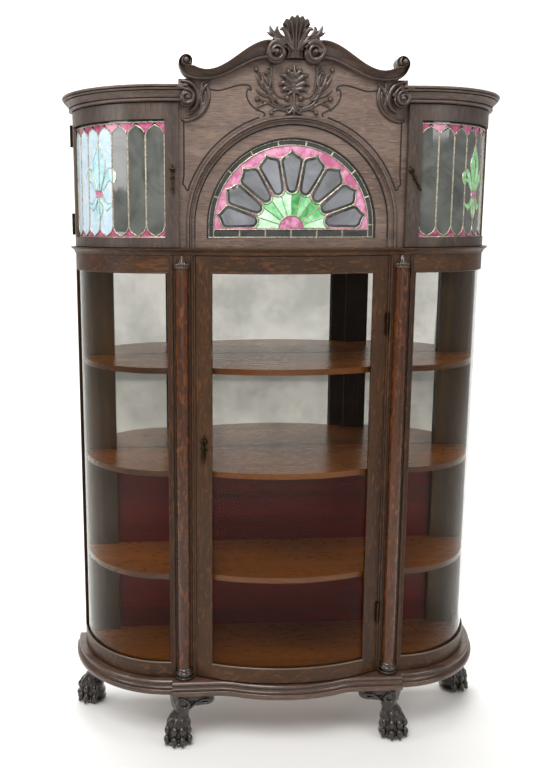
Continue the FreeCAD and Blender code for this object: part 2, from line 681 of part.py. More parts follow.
def frieze_panel():
    """Shaped front board, with the arch cut out and its top under the swan neck."""
    under, low, high = arm_curve(0, 0, PANEL_FRONT)
    right = [
        V(FRONT_HALF, PANEL_FRONT, DECK_TOP), V(FRONT_HALF, PANEL_FRONT, CORNICE_BOTTOM),
        V(SHOULDER_X, PANEL_FRONT, CORNICE_BOTTOM), V(SHOULDER_X, PANEL_FRONT, low.z), low,
    ]
    left = [V(-corner.x, corner.y, corner.z) for corner in right]
    run = left[::-1] + right
    edges = [straight(start, end) for start, end in zip(run, run[1:])]
    edges.append(under)
    edges.append(straight(high, V(-high.x, high.y, high.z)))
    edges.append(mirrored(under))
    board = Part.Face(Part.Wire(edges)).extrude(V(0, PANEL_THICKNESS, 0))
    radius = LUNETTE_RADIUS + ARCH_FRAME_WIDTH
    return board.cut(arch_prism(radius, DECK_TOP, PANEL_FRONT, PANEL_BACK))


def pediment_arm():
    """Right-hand swan-neck arm with its end scroll and its middle scroll."""
    front = PANEL_FRONT - ARM_PROUD
    proud = PANEL_FRONT - SCROLL_PROUD
    scroll_level = CORNICE_TOP + END_SCROLL_RISE
    under, low, high = arm_curve(0, 0, front)
    over, top_low, top_high = arm_curve(ARM_LOW_DEPTH, ARM_HIGH_DEPTH, front)
    tail = [
        top_low, V(END_SCROLL_X - END_SCROLL_RADIUS, front, scroll_level - END_SCROLL_RADIUS / 2.0),
        V(END_SCROLL_X, front, scroll_level - END_SCROLL_RADIUS), V(END_SCROLL_X, front, low.z), low,
    ]
    edges = [under, straight(high, top_high), over]
    edges.extend(straight(start, end) for start, end in zip(tail, tail[1:]))
    outline = Part.Wire(Part.sortEdges(edges)[0])
    band = Part.Face(outline).extrude(V(0, PANEL_BACK - front, 0))
    end = disc(END_SCROLL_X, scroll_level, END_SCROLL_RADIUS, proud, PANEL_FRONT)
    middle = disc(MID_SCROLL_X, CORNICE_TOP + MID_SCROLL_RISE, MID_SCROLL_RADIUS, proud, PANEL_FRONT)
    return band.fuse([end, middle]).removeSplitter()


def crest():
    """Upright leaf fan between the middle scrolls, with a leaf tip at each side."""
    bottom = CORNICE_TOP + ARM_HIGH_RISE
    rise = TOTAL_HEIGHT - bottom
    right = [(share * CREST_TIP_X, bottom + up * rise) for share, up in CREST_OUTLINE]
    left = [(-x, z) for x, z in reversed(right)]
    back = PANEL_BACK - CREST_SETBACK
    leaf = sheet_prism(right + left, back - CREST_DEPTH, back)
    return leaf.cut([pediment_arm(), mirrored(pediment_arm())])


def frieze_carvings():
    """Low relief on the frieze: the middle cartouche and a scroll under each cornice."""
    front = PANEL_FRONT - CARVING_PROUD
    right = [(x, CORNICE_TOP + rise) for x, rise in CARTOUCHE_OUTLINE]
    left = [(-x, z) for x, z in reversed(right[1:-1])]
    cartouche = sheet_prism(right + left, front, PANEL_FRONT)
    outline = [(SHOULDER_X - inward, CORNICE_TOP + rise) for inward, rise in BRACKET_OUTLINE]
    bracket = sheet_prism(outline, front, PANEL_FRONT).cut(right_cornice())
    around = [pediment_arm(), mirrored(pediment_arm()), arch_moulding()]
    pieces = [cartouche.cut(around), bracket.cut(around), mirrored(bracket).cut(around)]
    return Part.makeCompound([solid for piece in pieces for solid in piece.Solids])


def right_cornice():
    """Cornice of the right bay, which ends in a volute in front of the frieze panel."""
    ring = moulded(flat_front, CORNICE_PROFILE, CORNICE_BOTTOM, CORNICE_HEIGHT)
    ring = ring.cut(plan_prism(flat_front, -PANEL_FRONT, CORNICE_BOTTOM, CORNICE_TOP))
    ring = ring.common(block(CORNICE_INNER, FAR, -FAR, CASE_DEPTH, CORNICE_BOTTOM, CORNICE_TOP))
    volute = disc(CORNICE_INNER, CORNICE_TOP - VOLUTE_DROP, VOLUTE_RADIUS, VOLUTE_FRONT, PANEL_FRONT)
    return ring.fuse(volute).removeSplitter()


def top_board():
    """Dust board inside the cornice, behind the frieze panel."""
    top = CORNICE_BOTTOM + TOP_BOARD_THICKNESS
    board = plan_prism(flat_front, -PANEL_FRONT, CORNICE_BOTTOM, top)
    return board.cut([frieze_panel(), lunette_frame()])


def upper_back():
    """Back board of the upper case, between the rear posts."""
    back = CASE_DEPTH - BACK_SETBACK
    front = back - BACK_BOARD_THICKNESS
    return block(-REAR_POST_INNER, REAR_POST_INNER, front, back, DECK_TOP, CORNICE_BOTTOM)


def upper_glass():
    """Leaded bent glass of the right upper door."""
    low = UPPER_DOOR_INNER + UPPER_STILE_WIDTH - GLASS_TUCK
    rear = UPPER_DOOR_REAR - UPPER_REAR_STILE + GLASS_TUCK
    bottom = UPPER_DOOR_BOTTOM + UPPER_BOTTOM_RAIL - GLASS_TUCK
    top = UPPER_DOOR_TOP - UPPER_TOP_RAIL + GLASS_TUCK
    return bay_shell(-LEADED_SETBACK, -LEADED_SETBACK - LEADED_THICKNESS, bottom, top, low, rear)


def upper_frame():
    """Two stiles and two bent rails of the right upper door, as separate pieces."""
    inner = -UPPER_DOOR_THICKNESS
    whole = bay_shell(0, inner, UPPER_DOOR_BOTTOM, UPPER_DOOR_TOP, UPPER_DOOR_INNER, UPPER_DOOR_REAR)
    whole = whole.cut(upper_glass())
    stile_end = UPPER_DOOR_INNER + UPPER_STILE_WIDTH
    rear_end = UPPER_DOOR_REAR - UPPER_REAR_STILE
    low = UPPER_DOOR_BOTTOM
    high = UPPER_DOOR_TOP
    zones = [
        block(0, stile_end, -FAR, FAR, low, high), block(stile_end, FAR, rear_end, FAR, low, high),
        block(stile_end, FAR, -FAR, rear_end, low, low + UPPER_BOTTOM_RAIL),
        block(stile_end, FAR, -FAR, rear_end, high - UPPER_TOP_RAIL, high),
    ]
    return Part.makeCompound([solid for zone in zones for solid in whole.common(zone).Solids])


# ---------------------------------------------------------------- hinges
def knuckle_levels(middle):
    """Heights of the ends of the three knuckles of a hinge."""
    low = middle - 1.5 * KNUCKLE_LENGTH
    return low, low + KNUCKLE_LENGTH, low + 2 * KNUCKLE_LENGTH, low + 3 * KNUCKLE_LENGTH


def fixed_leaf(middle, near):
    """Fixed half of a hinge on the origin, with its plate near away from the hinge line."""
    low, first, second, top = knuckle_levels(middle)
    start = KNUCKLE_RADIUS + LEAF_GAP
    plate = block(near, near + LEAF_THICKNESS, start, start + LEAF_WIDTH, low, top)
    parts = [Part.makeCylinder(HINGE_PIN_RADIUS, top - low, V(0, 0, low))]
    for bottom, end in ((low, first), (second, top)):
        parts.append(Part.makeCylinder(KNUCKLE_RADIUS, end - bottom, V(0, 0, bottom)))
        parts.append(block(near, near + LEAF_THICKNESS, 0, start, bottom, end))
    return plate.fuse(parts).removeSplitter()


def moving_leaf(middle, near):
    """Moving half of a hinge on the origin: its plate and the bored middle knuckle."""
    low, first, second, top = knuckle_levels(middle)
    start = KNUCKLE_RADIUS + LEAF_GAP
    bottom = first + KNUCKLE_END_GAP
    end = second - KNUCKLE_END_GAP
    plate = block(-near - LEAF_THICKNESS, -near, start, start + LEAF_WIDTH, low, top)
    knuckle = Part.makeCylinder(KNUCKLE_RADIUS, end - bottom, V(0, 0, bottom))
    tab = block(-near - LEAF_THICKNESS, -near, 0, start, bottom, end)
    bore = Part.makeCylinder(HINGE_PIN_RADIUS + RUNNING_CLEARANCE, top - low, V(0, 0, low))
    return plate.fuse([knuckle, tab]).removeSplitter().cut(bore)


def door_hinge_set(leaf):
    """Hinges of the middle door; their plates are let into the post and the stile."""
    leaves = []
    half_gap = DOOR_SIDE_GAP / 2.0
    for height in DOOR_HINGE_HEIGHTS:
        shape = leaf(height, half_gap)
        shape.translate(V(DOOR_OPENING_HALF - half_gap, DOOR_HINGE_Y, 0))
        leaves.append(shape)
    return leaves


def upper_hinge_set(leaf):
    """Hinges of the right upper door; their plates lie in the gap at its rear edge."""
    leaves = []
    half_gap = UPPER_DOOR_GAP / 2.0
    for height in UPPER_HINGE_HEIGHTS:
        shape = leaf(height, half_gap - LEAF_THICKNESS)
        shape.rotate(V(0, 0, 0), V(0, 0, 1), 90)
        shape.translate(V(BAY_HALF + UPPER_HINGE_REACH, UPPER_DOOR_REAR + half_gap, 0))
        leaves.append(shape)
    return leaves


# ---------------------------------------------------------------- drop pulls
def pull_plate(width, height):
    """Oval escutcheon on the origin with two ears and the cross pin of its drop."""
    pivot = V(0, -PIVOT_REACH, height * PIVOT_SHARE)
    plate = Part.Face(ellipse_wire(0, 0, width / 2.0, height / 2.0, 0)).extrude(V(0, 0, PLATE_THICKNESS))
    plate.rotate(V(0, 0, 0), V(1, 0, 0), 90)
    inner = EAR_SPACE / 2.0
    outer = inner + EAR_THICKNESS
    ear = block(inner, outer, pivot.y - EAR_HALF, 0, pivot.z - EAR_HALF, pivot.z + EAR_HALF)
    pin = Part.makeCylinder(CROSS_PIN_RADIUS, 2.0 * outer, V(-outer, pivot.y, pivot.z), V(1, 0, 0))
    return plate.fuse([ear, mirrored(ear), pin]).removeSplitter(), pivot


def pull_drop(pivot, length, radius):
    """Turned drop that hangs from the cross pin by its eye."""
    start = V(-EYE_WIDTH / 2.0, 0, 0)
    across = V(1, 0, 0)
    eye = Part.makeCylinder(EYE_RADIUS, EYE_WIDTH, start, across)
    outline = [V(share * radius, 0, -down * length) for share, down in DROP_PROFILE]
    body = Part.Face(Part.makePolygon(outline + outline[:1])).revolve(V(0, 0, 0), V(0, 0, 1), 360)
    bore = Part.makeCylinder(CROSS_PIN_RADIUS + RUNNING_CLEARANCE, EYE_WIDTH, start, across)
    drop = eye.fuse(body).removeSplitter().cut(bore)
    drop.translate(pivot)
    return drop


def placed_pull(shapes, place, turn, tilt):
    """Moves a pull from the origin to its place, turned about Z after a tilt about Y."""
    for shape in shapes:
        shape.rotate(V(0, 0, 0), V(0, 1, 0), tilt)
        shape.rotate(V(0, 0, 0), V(0, 0, 1), turn)
        shape.translate(place)
    return shapes


def door_pull():
    """Plate and drop of the middle door, square to its bowed left stile."""
    radius = (DOOR_OPENING_HALF ** 2 + DOOR_BOW ** 2) / (2.0 * DOOR_BOW)
    turn = math.degrees(math.asin(DOOR_PULL_X / radius))
    face = radius - DOOR_BOW - math.sqrt(radius ** 2 - DOOR_PULL_X ** 2)
    plate, pivot = pull_plate(DOOR_PLATE_WIDTH, DOOR_PLATE_HEIGHT)
    drop = pull_drop(pivot, DOOR_DROP_LENGTH, DOOR_DROP_RADIUS)
    return placed_pull([plate, drop], V(-DOOR_PULL_X, face, DOOR_PULL_HEIGHT), -turn, 0)


def upper_pull(side, tilt):
    """Plate and drop of an upper door, on its front stile."""
    plate, pivot = pull_plate(UPPER_PLATE_WIDTH, UPPER_PLATE_HEIGHT)
    drop = pull_drop(pivot, UPPER_DROP_LENGTH, UPPER_DROP_RADIUS)
    return placed_pull([plate, drop], V(side * UPPER_PULL_X, 0, DECK_TOP + UPPER_PULL_RISE), 0, tilt)


# ---------------------------------------------------------------- assembly
def case_nodes():
    """Sub-parts of the fixed lower case, by node name."""
    nodes = {}
    nodes["base_moulding"] = base_moulding()
    nodes["case_floor"] = case_floor()
    nodes["back_boards"] = back_boards()
    nodes["mirror"] = mirror()
    for name, top in zip(("lower_shelf", "middle_shelf", "upper_shelf"), SHELF_TOPS):
        nodes[name] = shelf(top)
    nodes["shelf_pins"] = shelf_pins()
    nodes["head_rail"] = head_rail()
    nodes["waist_moulding"] = waist_moulding()
    nodes["waist_deck"] = waist_deck()

    nodes["left_front_post"] = mirrored(front_post())
    nodes["right_front_post"] = front_post().cut(door_hinge_set(fixed_leaf))
    pairs = {
        "rear_post": rear_post(), "lower_rail": lower_rail(), "upper_rail": upper_rail(),
        "side_glass": side_glass(), "column": column(), "capital": capital(),
        "front_foot": front_foot(), "rear_foot": rear_foot(),
    }
    for name, shape in pairs.items():
        nodes["left_" + name] = mirrored(shape)
        nodes["right_" + name] = shape
    upper = upper_hinge_set(fixed_leaf)
    fixed = door_hinge_set(fixed_leaf) + upper + [mirrored(leaf) for leaf in upper]
    nodes["fixed_hinge_leaves"] = Part.makeCompound(fixed)
    return nodes


def frieze_nodes():
    """Sub-parts of the fixed upper case and its pediment, by node name."""
    nodes = {}
    nodes["frieze_panel"] = frieze_panel()
    nodes["arch_moulding"] = arch_moulding()
    nodes["lunette_frame"] = lunette_frame()
    nodes["lunette_glass"] = lunette_glass()
    nodes["left_cornice"] = mirrored(right_cornice())
    nodes["right_cornice"] = right_cornice()
    nodes["left_pediment_arm"] = mirrored(pediment_arm())
    nodes["right_pediment_arm"] = pediment_arm()
    nodes["crest"] = crest()
    nodes["frieze_carvings"] = frieze_carvings()
    nodes["top_board"] = top_board()
    nodes["upper_back"] = upper_back()
    return nodes


def door_nodes():
    """Sub-parts of the middle door, by node name."""
    nodes = {}
    inner = DOOR_HALF - DOOR_STILE_WIDTH
    leaves = door_hinge_set(moving_leaf)
    nodes["door_left_stile"] = door_stile(-DOOR_HALF, -inner)
    nodes["door_right_stile"] = door_stile(inner, DOOR_HALF).cut(leaves)
    nodes["door_bottom_rail"] = door_rail(DOOR_BOTTOM, DOOR_BOTTOM + DOOR_BOTTOM_RAIL)
    nodes["door_top_rail"] = door_rail(DOOR_TOP - DOOR_TOP_RAIL, DOOR_TOP)
    nodes["door_glass"] = door_glass()
    nodes["door_hinge_leaves"] = Part.makeCompound(leaves)
    nodes["door_escutcheon"], nodes["door_pull"] = door_pull()
    return nodes


def upper_door_nodes(side, word, tilt):
    """Sub-parts of one upper door, by node name."""
    frame = upper_frame()
    glass = upper_glass()
    leaves = Part.makeCompound(upper_hinge_set(moving_leaf))
    if side < 0:
        frame = mirrored(frame)
        glass = mirrored(glass)
        leaves = mirrored(leaves)
    plate, drop = upper_pull(side, tilt)
    return {
        word + "_upper_frame": frame, word + "_upper_glass": glass, word + "_upper_hinge_leaves": leaves,
        word + "_upper_escutcheon": plate, word + "_upper_pull": drop,
    }


def main():
    """Builds each node and writes it as a STEP file."""
    os.makedirs("parts", exist_ok=True)
    nodes = case_nodes()
    nodes.update(frieze_nodes())
    nodes.update(door_nodes())
    nodes.update(upper_door_nodes(-1, "left", 0.0))
    nodes.update(upper_door_nodes(1, "right", -RIGHT_PULL_TILT))
    whole = FreeCAD.BoundBox()
    for name, shape in nodes.items():
        shape.translate(V(0, -FRONT_REACH, 0))
        if not shape.isValid() or not shape.Solids:
            raise ValueError("bad solid in " + name)
        whole.add(shape.BoundBox)
        shape.exportStep(os.path.join("parts", name + ".step"))
        print(name, len(shape.Solids), round(shape.Volume / 1000.0), "cm3")
    print("nodes", len(nodes), "box", whole)


main()
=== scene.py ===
"""Looks of a bow-front oak china cabinet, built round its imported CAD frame.

Sizes are millimetres on the cabinet's own plan, where the flat front of the posts is
the line y = 0, +X is to the viewer's right, +Z is up, and the front faces -Y. Pieces are
built in that plan, and Shop.fit moves them into the frame.
"""

import logging
import math
from dataclasses import dataclass
from enum import Enum
from typing import Any, Iterable, Sequence

import bpy
from mathutils import Matrix, Vector

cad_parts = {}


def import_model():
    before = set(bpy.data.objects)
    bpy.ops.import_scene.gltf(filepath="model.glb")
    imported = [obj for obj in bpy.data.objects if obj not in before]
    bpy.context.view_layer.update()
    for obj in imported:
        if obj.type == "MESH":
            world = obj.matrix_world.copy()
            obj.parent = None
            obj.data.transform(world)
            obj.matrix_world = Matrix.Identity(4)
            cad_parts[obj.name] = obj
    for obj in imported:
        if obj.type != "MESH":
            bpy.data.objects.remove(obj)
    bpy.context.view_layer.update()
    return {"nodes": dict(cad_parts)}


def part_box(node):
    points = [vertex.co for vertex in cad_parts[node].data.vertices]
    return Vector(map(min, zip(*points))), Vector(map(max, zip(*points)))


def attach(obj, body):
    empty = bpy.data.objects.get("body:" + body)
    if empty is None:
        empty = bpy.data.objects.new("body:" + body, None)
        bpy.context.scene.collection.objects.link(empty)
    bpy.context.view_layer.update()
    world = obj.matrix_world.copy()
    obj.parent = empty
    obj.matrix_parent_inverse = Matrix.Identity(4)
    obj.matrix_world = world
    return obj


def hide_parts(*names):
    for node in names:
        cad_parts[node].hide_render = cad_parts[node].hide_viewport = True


LOG = logging.getLogger("cabinet")
MM = 0.001
Point = tuple[float, float, float]
Flat = tuple[float, float]
Colour = tuple[float, float, float, float]
Stop = tuple[float, Colour]
Thing = bpy.types.Object
Look = bpy.types.Material
Tree = bpy.types.NodeTree
Node = bpy.types.Node
Socket = bpy.types.NodeSocket
SIDES = ((-1, "left"), (1, "right"))
REAR_STEP = 10.0  # millimetres of each rear post behind the end of its bay's curve
RAMP = "ShaderNodeValToRGB"
NOISE = "ShaderNodeTexNoise"
MIX = "ShaderNodeMix"
SPREAD = "ShaderNodeMapRange"
BUMP = "ShaderNodeBump"


# ------------------------------------------------------------------ workbench
def clear() -> None:
    """Deselects everything."""
    bpy.ops.object.select_all(action="DESELECT")


def take(*objects: Thing) -> None:
    """Selects only these objects and makes the first one active."""
    clear()
    for item in objects:
        item.select_set(True)
    bpy.context.view_layer.objects.active = objects[0]


def settle(item: Thing) -> Thing:
    """Applies the object's place, turn and scale to its mesh."""
    take(item)
    bpy.ops.object.transform_apply(location=True, rotation=True, scale=True)
    return item


def with_modifier(item: Thing, kind: str, **settings: Any) -> Thing:
    """Adds a modifier and applies it.

    Args:
        item: The mesh object to work on.
        kind: The modifier's type.
        **settings: Its properties.

    Returns:
        The same object.
    """
    take(item)
    bpy.ops.object.modifier_add(type=kind)
    modifier = item.modifiers[-1]
    for key, value in settings.items():
        setattr(modifier, key, value)
    bpy.ops.object.modifier_apply(modifier=modifier.name)
    return item


def joined(parts: Sequence[Thing], name: str) -> Thing:
    """Joins parts into one object of that name, settled at the origin."""
    take(*parts)
    if len(parts) > 1:
        bpy.ops.object.join()
    item = bpy.context.view_layer.objects.active
    item.name = name
    item.data.name = name
    return settle(item)


def carved(parts: Sequence[Thing], name: str, grit: float, rounds: int = 3) -> Thing:
    """Joins parts and melts them into one closed carved skin.

    Args:
        parts: Overlapping closed solids.
        name: The piece's name.
        grit: Spacing of the skin's points, in millimetres.
        rounds: How often the skin is smoothed.

    Returns:
        The carved piece.
    """
    item = joined(parts, name)
    with_modifier(item, "REMESH", mode="VOXEL", voxel_size=grit * MM)
    with_modifier(item, "SMOOTH", factor=0.5, iterations=rounds)
    item.data.shade_smooth()
    return item


def copied(item: Thing, name: str, move: Matrix) -> Thing:
    """Copies a piece with its own mesh, moved by a matrix and turned right side out."""
    other = item.copy()
    other.data = item.data.copy()
    other.name = name
    bpy.context.scene.collection.objects.link(other)
    other.data.transform(move)
    if move.determinant() < 0:
        other.data.flip_normals()
    return other


def mirror_x() -> Matrix:
    """Matrix that swaps left and right."""
    return Matrix.Scale(-1.0, 4, Vector((1.0, 0.0, 0.0)))


def ball(centre: Point, radii: Point, turn: Point = (0.0, 0.0, 0.0), fine: int = 14) -> Thing:
    """Egg-shaped lump for carvings.

    Args:
        centre: Its middle, in millimetres.
        radii: Half its size along its own axes, in millimetres.
        turn: Its turn about X, Y and Z, in degrees.
        fine: Number of segments round it.

    Returns:
        The lump.
    """
    clear()
    bpy.ops.mesh.primitive_uv_sphere_add(
        segments=fine, ring_count=max(6, fine * 2 // 3), radius=1.0,
        location=[value * MM for value in centre],
        rotation=[math.radians(value) for value in turn],
        scale=[value * MM for value in radii],
    )
    return bpy.context.object


def rod(
    points: Sequence[Point], radii: Sequence[float], round_steps: int = 3, soft: bool = True,
) -> Thing:
    """Round bar along a line, with its own thickness at each point.

    Args:
        points: The line, in millimetres.
        radii: The bar's radius at each point; one value does for all.
        round_steps: How finely the bar is rounded.
        soft: Draws the line as a smooth curve and not as straight runs.

    Returns:
        The bar as a mesh.
    """
    clear()
    data = bpy.data.curves.new("rod", "CURVE")
    data.dimensions = "3D"
    data.bevel_depth = 1.0
    data.bevel_resolution = round_steps
    data.use_fill_caps = True
    data.resolution_u = 6
    line = data.splines.new("NURBS" if soft else "POLY")
    line.points.add(len(points) - 1)
    sizes = list(radii) if len(radii) == len(points) else [radii[0]] * len(points)
    for knot, place, size in zip(line.points, points, sizes):
        knot.co = (*(value * MM for value in place), 1.0)
        knot.radius = size * MM
    if soft:
        line.order_u = 3
        line.use_endpoint_u = True
    item = bpy.data.objects.new("rod", data)
    bpy.context.scene.collection.objects.link(item)
    take(item)
    bpy.ops.object.convert(target="MESH")
    return bpy.context.object


def loft(rings: Sequence[Sequence[Point]], name: str, smooth: bool = True) -> Thing:
    """Closed skin over a run of rings: the first one's face is extruded onto each next one.

    Args:
        rings: Rings of the same number of points, in millimetres.
        name: The piece's name.
        smooth: Shades it smooth where its faces meet at less than 40 degrees.

    Returns:
        The skin as an object.
    """
    count = len(rings[0])
    clear()
    bpy.ops.mesh.primitive_circle_add(vertices=count, fill_type="NGON")
    item = bpy.context.object
    item.name = name
    for step, ring in enumerate(rings):
        if step:
            bpy.ops.object.mode_set(mode="EDIT")
            if step == 1:
                bpy.ops.mesh.select_all(action="SELECT")
            bpy.ops.mesh.extrude_region_move()
            bpy.ops.object.mode_set(mode="OBJECT")
        for vertex, place in zip(item.data.vertices[-count:], ring):
            vertex.co = [value * MM for value in place]
    return outward(item, smooth)


def outward(item: Thing, smooth: bool) -> Thing:
    """Turns all faces outward and shades the piece."""
    take(item)
    bpy.ops.object.mode_set(mode="EDIT")
    bpy.ops.mesh.select_all(action="SELECT")
    bpy.ops.mesh.normals_make_consistent(inside=False)
    bpy.ops.object.mode_set(mode="OBJECT")
    if smooth:
        bpy.ops.object.shade_smooth_by_angle(angle=math.radians(40.0))
    return item


def plate(corners: Sequence[Point], depth: Point) -> Thing:
    """Flat pane or board through its corners, pulled out to its thickness.

    Args:
        corners: Its outline in order, in millimetres.
        depth: The pull, in millimetres.

    Returns:
        The closed solid.
    """
    clear()
    bpy.ops.mesh.primitive_circle_add(vertices=len(corners), fill_type="NGON")
    item = bpy.context.object
    for vertex, corner in zip(item.data.vertices, corners):
        vertex.co = [value * MM for value in corner]
    bpy.ops.object.mode_set(mode="EDIT")
    bpy.ops.mesh.select_all(action="SELECT")
    pull = {"value": [value * MM for value in depth]}
    bpy.ops.mesh.extrude_region_move(TRANSFORM_OT_translate=pull)
    bpy.ops.object.mode_set(mode="OBJECT")
    return outward(item, False)


def turning(
    outline: Sequence[Flat], centre: Point, start: float, sweep: float, steps: int,
) -> Thing:
    """Turned solid about an upright axis.

    Args:
        outline: Radius and height from the bottom up, in millimetres.
        centre: Foot of the axis, in millimetres.
        start: First angle about the axis, in degrees.
        sweep: How far round it goes, in degrees.
        steps: Number of facets round it.

    Returns:
        The closed solid.
    """
    rings = []
    for step in range(steps + 1):
        shape = [(0, outline[0][1]), *outline, (0, outline[-1][1])]
        angle = start + sweep * step / steps
        rings.append(
            [(*polar(centre[:2], radius, angle), centre[2] + rise) for radius, rise in shape]
        )
    return loft(rings, "turning")


def polar(centre: Flat, radius: float, degrees: float) -> Flat:
    """Point at a radius and an anticlockwise angle from +X about a centre."""
    turn = math.radians(degrees)
    return centre[0] + radius * math.cos(turn), centre[1] + radius * math.sin(turn)


def both(centre: Point, radii: Point, turn: Point = (0, 0, 0), fine: int = 14) -> list[Thing]:
    """The same lump on the left and on the right."""
    x, y, z = centre
    return [
        ball((side * x, y, z), radii, (turn[0], side * turn[1], turn[2]), fine) for side, _ in SIDES
    ]


def spiral(centre: Flat, sizes: Flat, angles: Flat, steps: int, y: float) -> list[Point]:
    """Points of a scroll in the X-Z plane.

    Args:
        centre: Its eye, as x and z.
        sizes: First and last radius.
        angles: First and last angle, in degrees, anticlockwise from +X.
        steps: Number of runs.
        y: Depth of the scroll.

    Returns:
        The points, in millimetres.
    """
    points = []
    for step in range(steps + 1):
        share = step / steps
        radius = sizes[0] + (sizes[1] - sizes[0]) * share
        x, z = polar(centre, radius, angles[0] + (angles[1] - angles[0]) * share)
        points.append((x, y, z))
    return points


# ------------------------------------------------------------------ finishes
def linear(code: str) -> Colour:
    """Linear colour of an sRGB hex code such as '4a3a32'."""
    values = [int(code[index:index + 2], 16) / 255.0 for index in (0, 2, 4)]
    bright = [v / 12.92 if v <= 0.04045 else ((v + 0.055) / 1.055) ** 2.4 for v in values]
    return (bright[0], bright[1], bright[2], 1.0)


def add_node(
    tree: Tree, kind: str, settings: dict, links: dict, stops: Sequence[Stop] = (),
) -> Node:
    """Adds a node with its settings and its links.

    Args:
        tree: The material's node tree.
        kind: The node's type.
        settings: Values by input name or number, or by property name.
        links: Output sockets by the name or number of the input they feed.
        stops: Position and colour of both ends of a colour ramp.

    Returns:
        The node.
    """
    node = tree.nodes.new(kind)
    for end, (position, colour) in enumerate(stops):
        node.color_ramp.elements[end].position = position
        node.color_ramp.elements[end].color = colour
    for key, value in settings.items():
        if isinstance(key, int) or key in node.inputs:
            node.inputs[key].default_value = value
        else:
            setattr(node, key, value)
    for key, source in links.items():
        tree.links.new(source, node.inputs[key])
    return node


def painted_corner_shade(tree: Tree, colour: Socket, reach_mm: float, least: float) -> Socket:
    """Darkens a colour in corners and grooves as painted shade, by ambient occlusion.

    Args:
        tree: The material's node tree.
        colour: The colour before the painted shade.
        reach_mm: How far from a corner the painted shade reaches.
        least: Share of the colour left in the deepest corner.

    Returns:
        The darkened colour.
    """
    near = add_node(
        tree, "ShaderNodeAmbientOcclusion", {"samples": 6, "Distance": reach_mm * MM}, {},
    )
    share = add_node(
        tree, SPREAD, {"From Min": 0.15, "From Max": 0.85, "To Min": least},
        {"Value": near.outputs["AO"]},
    )
    mixed = add_node(
        tree, MIX, {"data_type": "RGBA", "blend_type": "MULTIPLY", 0: 1.0},
        {6: colour, 7: share.outputs[0]},
    )
    return mixed.outputs[2]


def grey(value: float) -> Colour:
    """Grey of that value, for the stops of a mask."""
    return (value, value, value, 1.0)


class Grain(Enum):
    """Which way the grain of a board runs."""

    UPRIGHT = (1.0, 1.0, 0.045)
    ACROSS = (0.045, 1.0, 1.0)


def blank(name: str) -> tuple[Look, Tree, Node, Node]:
    """New material with a Principled shader; returns it, its tree, shader and coordinates."""
    material = bpy.data.materials.new(name)
    material.use_nodes = True
    tree = material.node_tree
    tree.nodes.clear()
    shader = add_node(tree, "ShaderNodeBsdfPrincipled", {}, {})
    add_node(tree, "ShaderNodeOutputMaterial", {}, {"Surface": shader.outputs[0]})
    where = add_node(tree, "ShaderNodeTexCoord", {}, {})
    return material, tree, shader, where


def ramp(tree: Tree, mask: Socket, low: tuple[float, str], high: tuple[float, str]) -> Socket:
    """Colour that runs between two hex codes, each at its own position of a mask."""
    stops = [(position, linear(code)) for position, code in (low, high)]
    return add_node(tree, RAMP, {}, {"Fac": mask}, stops).outputs[0]


